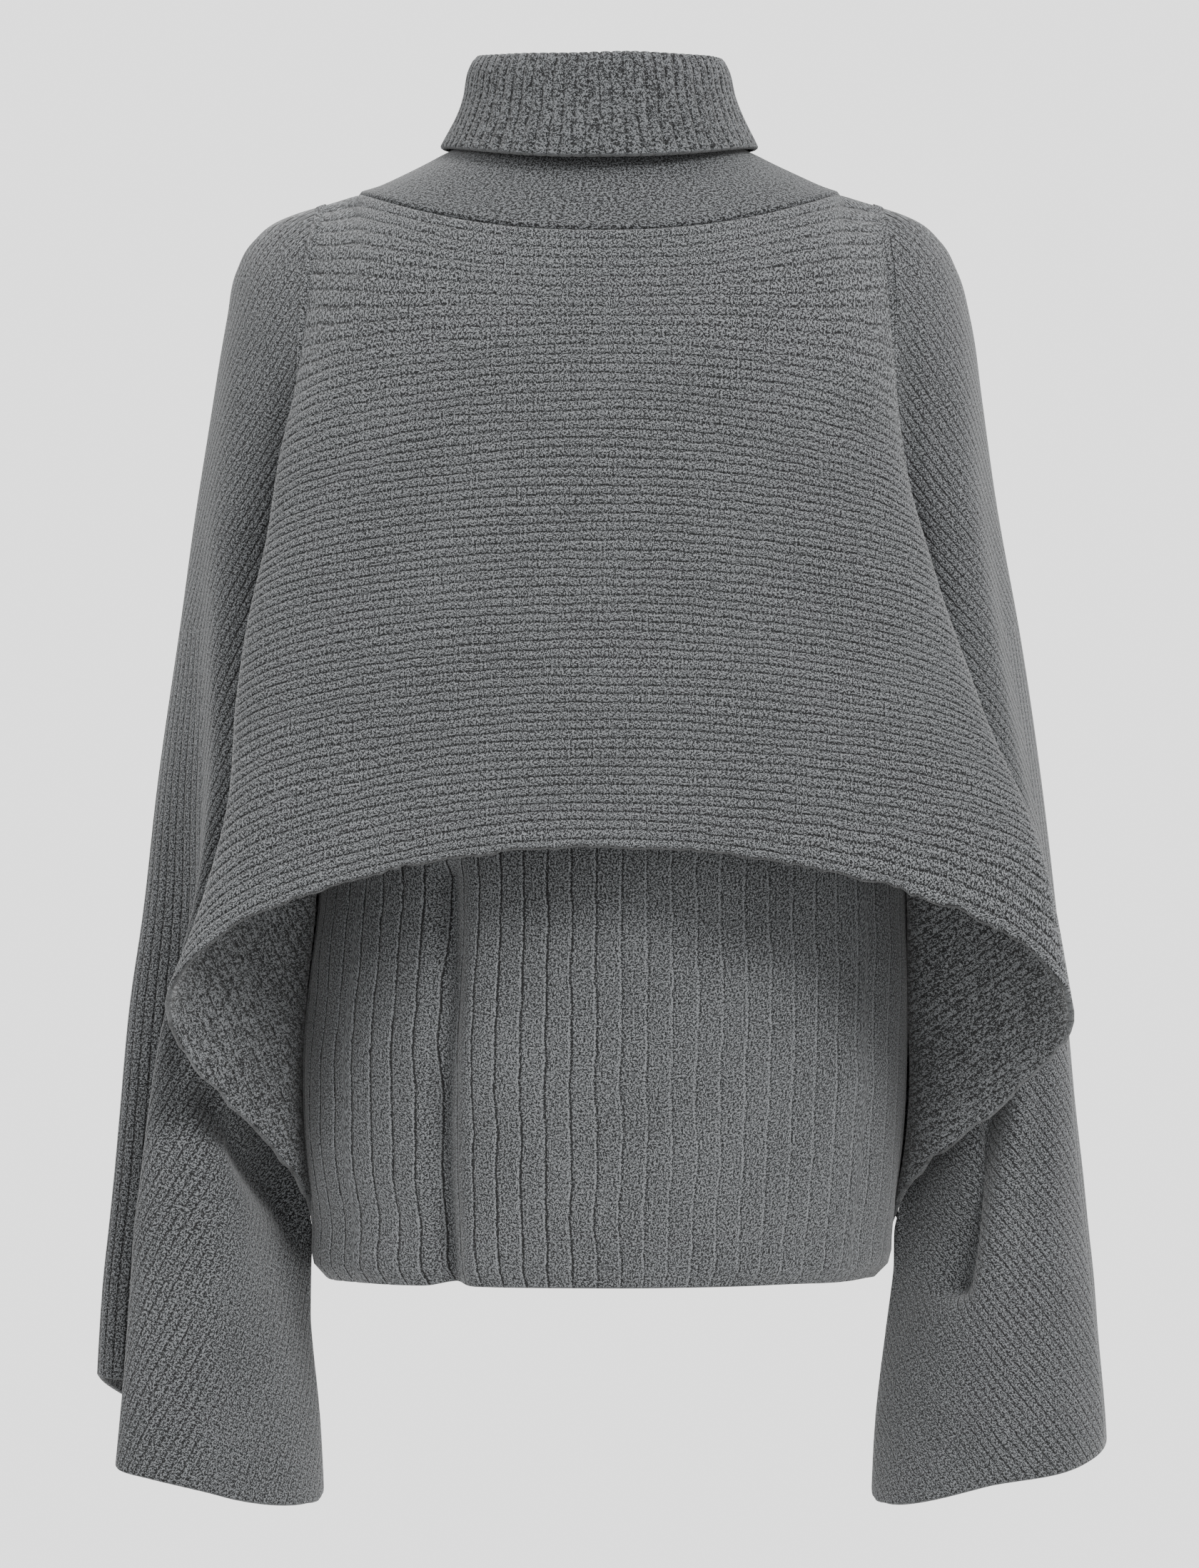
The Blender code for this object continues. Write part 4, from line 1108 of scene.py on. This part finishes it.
@dataclass(kw_only=True)
class Sleeve(Cloth):
    """A sleeve: a tube from the armhole to the wide cuff.

    Rows are 0 at the armhole and 1 at the cuff. Columns are 0 at the underarm, 1 at the overarm in
    front and 2 at the underarm behind, past which two more close the tube. The ribs run slanting
    down and out, in front and behind, and straight down on the outer lobe that a crease parts from
    the front. They are drawn by the material.

    Attributes:
        side: Which sleeve.
        levels: Rows of the grid.
        column_count: Columns of the grid, without the two that close it.
        even_level: The place down at which the columns are evenly spaced.
        closing: How far the closing columns reach, in columns' units.
        crease_columns: The columns between which creases fade towards the overarm.
        slant: How far the ribs have moved out, in millimetres, by the drop.
        rib_pitch: Distance between ribs, in millimetres.
        lobe_pitch: Distance between the outer lobe's ribs.
        lobe_from: The drop below which the lobe has ribs of its own.
        stitch_turn: Direction of the stitches, from straight down, in radians.
        plain_out: The distances in from the overarm between which the ribs become faint.
        plain_drop: The drops between which they do.
        plain_fade: How much fainter they are there.
        seam_out: The distances from the overarm within which the top of the arm has faint ribs.
        seam_drop: The drops between which that ends.
        seam_fade: How much fainter they are there.
    """

    side: Side
    closed: bool = True
    levels: int = 120
    column_count: int = 201
    even_level: float = 0.8
    closing: float = 0.1
    ripple: Ripple = Ripple(5, 1.2 * MM, 0.08, 0.22, (0.2, 0.6))
    calm_top: Tuple[float, float] = (0.0, 0.15)
    calm_side: float = 0.1
    crease_columns: Tuple[float, float] = (1.0, 0.94)
    slant: Table
    rib_pitch: float
    lobe_pitch: float = 4.6
    lobe_from: float = 240.0
    stitch_turn: float = 0.42
    plain_out: Tuple[float, float]
    plain_drop: Tuple[float, float] = (420.0, 520.0)
    plain_fade: float = 0.5
    seam_out: Tuple[float, float] = (6.0, 10.0)
    seam_drop: Tuple[float, float] = (150.0, 200.0)
    seam_fade: float = 0.85

    def rows(self) -> Array:
        """Even places from the armhole to the cuff."""
        return np.linspace(0, 1, self.levels)

    def columns(self) -> Array:
        """Places evenly round the tube, and those that close it.

        Returns:
            The columns.
        """
        places = evenly(lambda place: self.surface(np.full_like(place, self.even_level), place),
                        0.0, 2.0, self.column_count)
        return np.append(places, (2 + self.closing / 2, 2 + self.closing))

    def from_side(self, columns: Array) -> Array:
        """Distance from the underarm, in columns' units."""
        return 1 - np.abs(columns - 1)

    def creased(self, columns: Array) -> Array:
        """How far creases reach columns: only those in front."""
        return smoothstep(*self.crease_columns, columns)

    def surface(self, rows: Array, columns: Array) -> Array:
        """Points for grids of row and column parameters.

        Args:
            rows: Row parameters.
            columns: Column parameters.

        Returns:
            The points, in metres.
        """
        rib, level = np.minimum(np.abs(1 - columns), 1.0).ravel(), np.ravel(rows)
        front, back = (sleeve_surface(self.side, half, rib, level).reshape(*np.shape(rows), 3)
                       for half in (True, False))
        closing = (2 + self.closing - columns) / self.closing
        behind = np.clip(np.where(columns <= 1, 0.0, closing), 0.0, 1.0)[..., None]
        return front + (back - front) * behind

    def around(self, rows: Array, columns: Array) -> Tuple[Array, Array, Array, Array]:
        """Measures round the sleeve, in table units.

        Args:
            rows: Row parameters.
            columns: Column parameters.

        Returns:
            The drop, the distance from the overarm, the width of the outer lobe, and the cloth
            that is hidden behind the lobe's crease.
        """
        rib, level = np.minimum(np.abs(1 - columns), 1.0).ravel(), np.ravel(rows)
        halves = []
        for front in (True, False):
            drop, share = sleeve_place(self.side, front, rib, level)
            steps = np.diff(sleeve_section(self.side, front, drop)[0], axis=1)
            lengths = np.linalg.norm(steps, axis=2)
            hidden = lengths[:, -2:].sum(axis=1) if front else np.zeros_like(drop)
            out = (1 - share) * lengths.sum(axis=1)
            halves.append(np.stack([drop, out, lengths[:, -1], hidden]))
        here = np.where((columns <= 1).ravel(), halves[0], halves[1])
        return tuple(value.reshape(np.shape(rows)) for value in here)

    def raised(self, rows: Array, columns: Array) -> Array:
        """The height of plain knit everywhere."""
        return np.full_like(rows, PLAIN)

    def ribbing(self, rows: Array, columns: Array) -> Array:
        """How plainly the ribs show: less at the top of the arm and low on the inner front.

        Args:
            rows: Row parameters.
            columns: Column parameters.

        Returns:
            Values from 0 to 1.
        """
        drop, out, _, hidden = self.around(rows, columns)
        seam = 1 - smoothstep(*self.seam_out, out)
        seam = seam * (1 - smoothstep(*self.seam_drop, drop))
        plain = smoothstep(*self.plain_out, out - hidden) * smoothstep(*self.plain_drop, drop)
        return (1 - self.seam_fade * seam) * (1 - self.plain_fade * plain * (columns <= 1))

    def knit(self, points: Array, rows: Array, columns: Array) -> Tuple[Array, Array]:
        """The slanting ribs.

        Args:
            points: The grid of points.
            rows: Row parameters.
            columns: Column parameters.

        Returns:
            Distance along the stitches, in metres, and count of ribs.
        """
        drop, out, _, hidden = self.around(rows, columns)
        count = (out - hidden + self.slant.at(drop)[0]) / self.rib_pitch
        along_mm = drop * math.cos(self.stitch_turn) - out * math.sin(self.stitch_turn)
        return along_mm * MM, count

    def turned(self, points: Array, rows: Array, columns: Array) -> Tuple[Array, Array, Array]:
        """The straight ribs of the outer lobe.

        Args:
            points: The grid of points.
            rows: Row parameters.
            columns: Column parameters.

        Returns:
            Distance along them, their count, and whether a point is on the lobe.
        """
        drop, out, lobe, _ = self.around(rows, columns)
        straight = (out < lobe) & (columns < 1) & (drop > self.lobe_from)
        return drop * MM, out / self.lobe_pitch, straight.astype(float)


@dataclass(kw_only=True)
class UnderBody(RibbedDown):
    """The close body's front or back, with a place where the ribs crowd together.

    The front's ribs are faint on the right: there they have less relief and less painted
    shade in their grooves.

    Attributes:
        front: Whether it is the front.
        crowd: Where the ribs crowd: its x and width in millimetres, and how much closer they are.
        spread_places: Places at which the width is measured.
        spread_drop: The drop at which it is.
        plain_fade: How much fainter the ribs are on the right.
        plain_places: The shares of the width between which they become so.
    """

    front: bool
    rib_count: int = 32
    profile: RibProfile = WIDE_RIB
    levels: int = 80
    relief: float = 0.6 * MM
    ripple: Ripple = Ripple(7, 0.9 * MM, 0.06, 0.2, (0.014, 0.6))
    calm_top: Tuple[float, float] = (0.02, 0.3)
    calm_side: float = 2.0
    wander: Ripple = Ripple(23, 0.05, 0.03, 0.12, (0.014, 0.6))
    calm_wander: float = 1.5
    crowd: Tuple[float, float, float] = (-85.0, 12.0, 0.4)
    spread_places: int = 3000
    spread_drop: float = 480.0
    plain_fade: float = 0.7
    plain_places: Tuple[float, float] = (0.42, 0.6)

    def half_points(self, across: Array, level: Array) -> Array:
        """Points at signed shares of the half width and drops of the side."""
        return both_sides(
            across, lambda side: body_surface(side, self.front, np.abs(across), level))

    def spread(self) -> Tuple[Array, Array]:
        """How the ribs are spread over the width.

        Returns:
            Rib counts, and signed shares of the half width, for many places across the cloth.
        """
        share = np.linspace(-1, 1, self.spread_places)
        points = self.half_points(share, np.full_like(share, self.spread_drop))
        steps = np.linalg.norm(np.diff(points, axis=0), axis=-1)
        place, width, more = self.crowd
        middle = (points[1:, 0] + points[:-1, 0]) / 2 / MM
        total = np.cumsum(steps * (1 + more * np.exp(-((middle - place) / width) ** 2)))
        return np.concatenate([[0.0], total / total[-1] * self.rib_count]), share

    def surface(self, rows: Array, columns: Array) -> Array:
        """Points for grids of row and column parameters.

        Args:
            rows: Row parameters.
            columns: Column parameters.

        Returns:
            The points, in metres.
        """
        across = np.interp(self.moved(rows, columns), *self.spread())
        level = BODY_FORM.keys[0] + (BODY_FORM.keys[-1] - BODY_FORM.keys[0]) * rows
        return self.half_points(across, level)

    def ribbing(self, rows: Array, columns: Array) -> Array:
        """How plainly the ribs show, 0 to 1."""
        return 1 - self.plain_fade * smoothstep(*self.plain_places, columns / self.rib_count)


@dataclass(kw_only=True)
class RollCollar(RibbedDown):
    """The roll neck: funnel, roll and turned-down part in one tube.

    Attributes:
        funnel_fade: How much fainter the ribs are on the funnel.
        funnel_rows: The rows between which they become plain to see.
    """

    closed: bool = True
    rib_count: int = 72
    profile: RibProfile = FINE_RIB
    levels: int = 70
    ripple: Ripple = Ripple(9, 0.5 * MM, 0.05, 0.14, (0.006, 0.2))
    calm_top: Tuple[float, float] = (0.0, 0.08)
    calm_side: float = 3.0
    wander: Ripple = Ripple(29, 0.08, 0.02, 0.06, (0.006, 0.2))
    calm_wander: float = 2.0
    funnel_fade: float = 0.85
    funnel_rows: Tuple[float, float] = (0.26, 0.36)

    def surface(self, rows: Array, columns: Array) -> Array:
        """Points for grids of row and column parameters, in metres."""
        turn = self.moved(rows, columns) / self.rib_count * 2 - 1
        return collar_surface(turn * math.pi, rows)

    def ribbing(self, rows: Array, columns: Array) -> Array:
        """How plainly the ribs show, 0 to 1."""
        return 1 - self.funnel_fade + self.funnel_fade * smoothstep(*self.funnel_rows, rows)


# --- Materials ----------------------------------------------------------------------------------

def linear(colour: str) -> Tuple[float, float, float, float]:
    """Linear RGBA from an sRGB hex colour."""
    parts = [int(colour[place:place + 2], 16) / 255 for place in (1, 3, 5)]
    return (*(part / 12.92 if part <= 0.04045 else ((part + 0.055) / 1.055) ** 2.4
              for part in parts), 1.0)


class Nodes:
    """Adds nodes to a material's tree."""

    def __init__(self, material: bpy.types.Material) -> None:
        """Starts from the material's own tree.

        Args:
            material: The material.
        """
        material.use_nodes = True
        self.tree = material.node_tree
        self.shader = self.tree.nodes["Principled BSDF"]

    def add(self, kind: str, *inputs: object, **settings: object) -> Socket:
        """Adds a node.

        Args:
            kind: The node's type.
            inputs: Values or sockets for its inputs in order; None leaves one as it is.
            settings: Properties of the node, and "out", the number of the output wanted.

        Returns:
            The wanted output.
        """
        out = settings.pop("out", 0)
        node = self.tree.nodes.new(kind)
        for key, value in settings.items():
            setattr(node, key, value)
        for socket, value in zip(node.inputs, inputs):
            if isinstance(value, Socket):
                self.tree.links.new(value, socket)
            elif value is not None:
                socket.default_value = value
        return node.outputs[out]


# The knit's pattern in millimetres of cloth; each noise is given by its scale and its detail.
# Stitches are drawn 3 mm long and fibres 0.6 and 1.2 mm wide, coarser than real, so that they show;
# the inside of the cloth takes its noise from further off
STITCH_LENGTH, INSIDE_SHIFT = 3.0, 97.0

# Grooves, darkened by painted shade: how they wander, their edges and the place of the painted
# highlight beside them, as shares of their width, and how far they break up
GROOVE_NOISE, GROOVE_WANDER, GROOVE_EDGES, RIDGE_HIGHLIGHT_PLACE = (0.12, 2.0), 0.16, (1.5, 0.3), 0.9
BREAK_NOISE, BREAK_RANGE, BREAK_LEAST = (0.5, 2.0), (-0.12, 0.06), 0.45

# Stitches: how they wander along a rib, their slant, and what they give to tone and height
STITCH_NOISE, STITCH_WANDER, STITCH_SLANT = (0.3, 1.0), 1.6, 0.8
STITCH_TONE, STITCH_HEIGHT = 0.25, 0.2

# Heather: what the coarse and the fine fibres, those drawn out along the ribs, and a cloudiness of
# the whole give to the tone; then the darkest, middle and lightest yarn, as factors of the colour
FIBRE_NOISE, FIBRE_TONE = (0.85, 1.0), 2.6
HAIR_NOISE, HAIR_TONE = (1.7, 0.0), 1.6
STREAK_NOISE, STREAK_TONE, STREAK_STRETCH = (0.8, 2.0), 2.0, Vector((0.22, 1.0, 1.0))
CLOUD_NOISE, CLOUD_TONE = (0.018, 2.0), 0.3
YARN_TONES = (0.12, 0.9, 2.6)

# Relief: a round crest's square, a little over 1 so that its root holds, and the bump
CREST, BUMP_STRENGTH, BUMP_DISTANCE = 1.001, 0.6, 0.6 * MM


@dataclass(frozen=True)
class WoolKnit:
    """Rib knit of heathered grey wool.

    Attributes:
        name: The material's name.
        colour: Mean colour, sRGB; set darker than the cape's on body and sleeves as painted shade.
        rib_pitch: Distance between grooves, in millimetres.
        wales: Rows of stitches on a rib.
        groove: Strength of the painted shade in the grooves.
        groove_width: Their width, as a share of a rib.
        stitch: Contrast of the stitches.
        ridge_highlight: Strength of a painted highlight on the stitches beside each groove.
        heather: Contrast of the mixed fibres.
        streaks: Contrast of fibres drawn along the ribs.
        ribbed: How far the material raises the ribs itself.
    """

    name: str
    colour: str
    rib_pitch: float
    wales: int = 3
    groove: float = 0.75
    groove_width: float = 0.20
    stitch: float = 0.7
    ridge_highlight: float = 0.0
    heather: float = 1.4
    streaks: float = 0.0
    ribbed: float = 0.0

    def make(self) -> bpy.types.Material:
        """The material.

        Returns:
            Matt wool: broken grooves between the ribs darkened by painted shade, a painted
                highlight
            beside them where the material has one, rows of small slanting stitches on the ribs, and
            light and dark fibres mixed in the yarn.
        """
        material = bpy.data.materials.new(self.name)
        nodes = Nodes(material)
        add = nodes.add

        def calc(operation: str, *inputs: object) -> Socket:
            """The result of one operation on values and sockets."""
            return add("ShaderNodeMath", *inputs, operation=operation)

        knit = add("ShaderNodeAttribute", attribute_name="knit", out=1)
        length, count, side = add("ShaderNodeSeparateXYZ", knit).node.outputs
        ribbing = add("ShaderNodeAttribute", attribute_name="ribbing", out=2)
        length_mm = calc("MULTIPLY", length, 1 / MM)
        count_mm = calc("MULTIPLY", count, self.rib_pitch)
        through = calc("MULTIPLY", side, INSIDE_SHIFT)
        cloth = add("ShaderNodeCombineXYZ", length_mm, count_mm, through)

        def noise(scale: float, detail: float, stretch: Optional[Vector] = None) -> Socket:
            """Noise in the cloth.

            Args:
                scale: Its scale, for millimetres.
                detail: Its detail.
                stretch: Factors for places along the ribs, across them and through the cloth.

            Returns:
                Values about 0.
            """
            place = cloth
            if stretch is not None:
                place = add("ShaderNodeVectorMath", cloth, stretch, operation="MULTIPLY")
            return calc("SUBTRACT", add("ShaderNodeTexNoise", place, None, scale, detail), 0.5)

        # Grooves: lines of painted shade between the ribs, which wander a little and break up
        rib = calc("MULTIPLY_ADD", noise(*GROOVE_NOISE), GROOVE_WANDER, count)

        def line_at(place: Socket) -> Tuple[Socket, Socket]:
            """A line at every whole number.

            Args:
                place: Count of ribs.

            Returns:
                How near it is, from 0 midway to 1 on it, and its strength, 0 to 1.
            """
            half = calc("ABSOLUTE", calc("SUBTRACT", calc("FRACT", place), 0.5))
            near = calc("MULTIPLY", half, 2.0)
            start, end = (1 - edge * self.groove_width for edge in GROOVE_EDGES)
            return near, add("ShaderNodeMapRange", near, start, end, 0.0, 1.0,
                             interpolation_type="SMOOTHSTEP")

        beside, line = line_at(rib)
        broken = add("ShaderNodeMapRange", noise(*BREAK_NOISE), *BREAK_RANGE, BREAK_LEAST, 1.0)
        groove = calc("MULTIPLY", calc("MULTIPLY", line, broken), ribbing)

        # Stitches: slanting loops in rows along each rib
        row = calc("FRACT", calc("MULTIPLY", rib, self.wales))
        wale = calc("ABSOLUTE", calc("SUBTRACT", row, 0.5))
        wander = calc("MULTIPLY", noise(*STITCH_NOISE), STITCH_WANDER)
        turn = calc("ADD", calc("MULTIPLY_ADD", length_mm, 1 / STITCH_LENGTH, wander),
                    calc("MULTIPLY", wale, STITCH_SLANT))
        stitch = calc("SINE", calc("MULTIPLY", turn, 2 * math.pi))

        # Heather: light and dark fibres, of the size of a stitch and finer
        tone = calc("MULTIPLY_ADD", stitch, self.stitch * STITCH_TONE, 0.5)
        fibres = noise(*FIBRE_NOISE)
        for part, weight in ((fibres, FIBRE_TONE * self.heather),
                             (noise(*HAIR_NOISE), HAIR_TONE * self.heather),
                             (noise(*STREAK_NOISE, STREAK_STRETCH), STREAK_TONE * self.streaks),
                             (noise(*CLOUD_NOISE), CLOUD_TONE)):
            tone = calc("MULTIPLY_ADD", part, weight, tone)
        # Painted shade: the grooves darken the tone
        tone = calc("SUBTRACT", tone, calc("MULTIPLY", groove, self.groove))
        # Painted highlight: a light line on the stitches beside each groove
        if self.ridge_highlight:
            light = line_at(calc("ADD", rib, RIDGE_HIGHLIGHT_PLACE * self.groove_width))[1]
            tone = calc("MULTIPLY_ADD", light, self.ridge_highlight, tone)
        ramp = add("ShaderNodeValToRGB", tone).node
        base = linear(self.colour)
        ramp.color_ramp.elements.new(0.5)
        for element, factor in zip(ramp.color_ramp.elements, YARN_TONES):
            element.color = (*(part * factor for part in base[:3]), 1.0)

        # Relief: stitches and fibres, sunk grooves and, where the material has ribs, round crests
        height = calc("MULTIPLY_ADD", stitch, STITCH_HEIGHT, fibres)
        height = calc("SUBTRACT", height, groove)
        if self.ribbed:
            crest = calc("SQRT", calc("SUBTRACT", CREST, calc("MULTIPLY", beside, beside)))
            height = calc("MULTIPLY_ADD", calc("MULTIPLY", crest, ribbing), self.ribbed, height)
        bump = add("ShaderNodeBump", BUMP_STRENGTH, BUMP_DISTANCE, None, height)
        nodes.tree.links.new(ramp.outputs[0], nodes.shader.inputs["Base Color"])
        nodes.tree.links.new(bump, nodes.shader.inputs["Normal"])
        for socket, value in (("Roughness", 0.95), ("Specular IOR Level", 0.10),
                              ("Sheen Weight", 0.10), ("Sheen Roughness", 0.5)):
            nodes.shader.inputs[socket].default_value = value
        return material


# --- Studio -------------------------------------------------------------------------------------

@dataclass(frozen=True)
class Lamp:
    """A soft square light that looks at the middle of the garment.

    Attributes:
        name: Its name.
        place: Where it is, in metres.
        size: Length of its side.
        power: Its power, in watts.
    """

    name: str
    place: Tuple[float, float, float]
    size: float
    power: float

    def build(self, target: Vector) -> None:
        """Adds the light.

        Args:
            target: What it points at.
        """
        light = bpy.data.lights.new(self.name, "AREA")
        light.shape, light.size, light.energy = "SQUARE", self.size, self.power
        thing = bpy.data.objects.new(self.name, light)
        thing.location = self.place
        thing.rotation_euler = (target - thing.location).to_track_quat("-Z", "Y").to_euler()
        bpy.context.scene.collection.objects.link(thing)


@dataclass(frozen=True)
class Studio:
    """Pale floor, soft light and the camera.

    Attributes:
        floor_drop: How far the floor lies below the base of the neck, in metres.
        floor_radius: Its radius.
        distance: From the camera to the middle of the garment.
        view_height: Height of what the camera sees there.
        aim_height: Height of the camera and of what it looks at.
        sensor: Width of the camera's sensor, in millimetres.
        ambient: Strength of the white surround.
        lamps: The lights.
    """

    floor_drop: float = 1.45
    floor_radius: float = 4.8
    distance: float = 5.5
    view_height: float = 0.9008
    aim_height: float = -0.3274
    sensor: float = 36.0
    ambient: float = 2.1
    lamps: Tuple[Lamp, ...] = (
        Lamp("key", (2.0, -2.6, 2.2), 1.4, 380.0),
        Lamp("side", (-3.0, -1.3, 1.2), 1.6, 120.0),
        Lamp("top", (0.4, -1.0, 2.6), 1.6, 40.0),
    )

    def build(self) -> None:
        """Makes the floor, the world, the lights and the camera."""
        form = bmesh.new()
        bmesh.ops.create_circle(form, cap_ends=True, segments=96, radius=self.floor_radius)
        mesh = bpy.data.meshes.new("floor")
        bmesh.ops.translate(form, verts=form.verts, vec=(0, 0, -self.floor_drop))
        form.to_mesh(mesh)
        form.free()
        floor = bpy.data.objects.new("floor", mesh)
        bpy.context.scene.collection.objects.link(floor)
        paint = bpy.data.materials.new("pale_floor")
        nodes = Nodes(paint)
        nodes.shader.inputs["Base Color"].default_value = linear("#f4f4f3")
        nodes.shader.inputs["Roughness"].default_value = 0.8
        mesh.materials.append(paint)

        world = bpy.data.worlds.new("white_surround")
        world.use_nodes = True
        background = world.node_tree.nodes["Background"]
        background.inputs["Color"].default_value = linear("#ffffff")
        background.inputs["Strength"].default_value = self.ambient
        bpy.context.scene.world = world

        target = Vector((0.0, 0.0, self.aim_height))
        for lamp in self.lamps:
            lamp.build(target)

        lens = bpy.data.cameras.new("camera")
        lens.sensor_width = self.sensor
        lens.lens = self.sensor * self.distance / self.view_height
        camera = bpy.data.objects.new("camera", lens)
        camera.location = (0.0, -self.distance, self.aim_height)
        camera.rotation_euler = (math.pi / 2, 0.0, 0.0)
        bpy.context.scene.collection.objects.link(camera)
        bpy.context.scene.camera = camera


def build_cape() -> None:
    """The cape's front and back."""
    knit = WoolKnit("cape_wool_knit", "#303132", 5.4, heather=2.0, ribbed=0.6).make()
    CapePanel("cape_front", "cape_front_knit", knit, (0.70, 0.38), 0.24, front=True,
              flip=True).build()
    CapePanel("cape_back", "cape_back_knit", knit, (0.52, 0.40), 0.19, front=False,
              column_count=131, ripple=Ripple(4, 1.3 * MM, 0.08, 0.24, CAPE_SCALE)).build()


def build_sleeves() -> None:
    """Both sleeves."""
    left_folds = (
        Crease(((-163, 0), (-198, -37), (-207, -49), (-222, -90)), 1.8, 1.3),
        Crease(((-222, -508), (-193, -548), (-172, -578)), 11.0, 13.0),
        Crease(((-232, -430), (-243, -520)), 8.0, 3.0),
    )
    right_folds = (
        Crease(((157, -3), (193, -16), (203, -41), (219, -82), (226, -123)), 1.8, 1.3),
        Crease(((224, -495), (214, -545), (200, -610)), 11.0, 18.0),
        Crease(((243, -420), (252, -520), (240, -600)), 9.0, 3.0),
    )
    left_slant = Table((0, 0), (15, 3), (43, 9), (60, 14), (107, 40), (150, 66), (330, 150),
                       (500, 215), (760, 305))
    right_slant = Table((0, 4), (15, 8), (43, 18), (60, 26), (107, 57), (150, 88), (330, 216),
                        (500, 333), (760, 513))
    for side, name, pitch, slant, plain, folds in (
        (Side.LEFT, "sleeve_left", 5.2, left_slant, (28.0, 60.0), left_folds),
        (Side.RIGHT, "sleeve_right", 6.2, right_slant, (50.0, 80.0), right_folds),
    ):
        # Painted shade: the sleeves' colour is a little darker than the cape's, for their lower
        # parts, which get less light
        knit = WoolKnit(f"{name}_wool_knit", "#2e2f30", pitch, heather=1.6, ribbed=1.8).make()
        Sleeve(name, f"{name}_knit", knit, (0.44, 0.72), 0.19, flip=side is Side.RIGHT, side=side,
               rib_pitch=pitch, slant=slant, plain_out=plain, creases=folds).build()


def build_body() -> None:
    """The close body's front and back."""
    # Painted shade: the body's colour is a little darker than the cape's, as it lies under the cape
    # and gets less light
    knit = WoolKnit("body_wool_knit", "#2f3031", 14.0, wales=7, groove=1.1, groove_width=0.10,
                    ridge_highlight=0.4, stitch=0.3, streaks=0.4).make()
    valley = Crease(((-86, -380), (-85, -440), (-90, -520), (-84, -640)), 8.0, 13.0)
    UnderBody("under_body_front", "body_front_knit", knit, (0.44, 0.61), 0.26, front=True,
              flip=True, creases=(valley,)).build()
    UnderBody("under_body_back", "body_back_knit", knit, (0.42, 0.62), 0.25, front=False,
              rib_count=30, crowd=(40.0, 20.0, 0.3), plain_fade=0.0).build()


def build_collar() -> None:
    """The roll neck."""
    knit = WoolKnit("collar_wool_knit", "#292a2b", 6.4, groove=0.6, heather=1.8).make()
    RollCollar("roll_collar", "collar_knit", knit, (0.50, 0.18), 0.075).build()


def main() -> None:
    """Builds the garment piece by piece, then the studio."""
    logging.basicConfig(level=logging.INFO)
    build_cape()
    build_sleeves()
    build_body()
    build_collar()
    Studio().build()


if __name__ == "__main__":
    main()
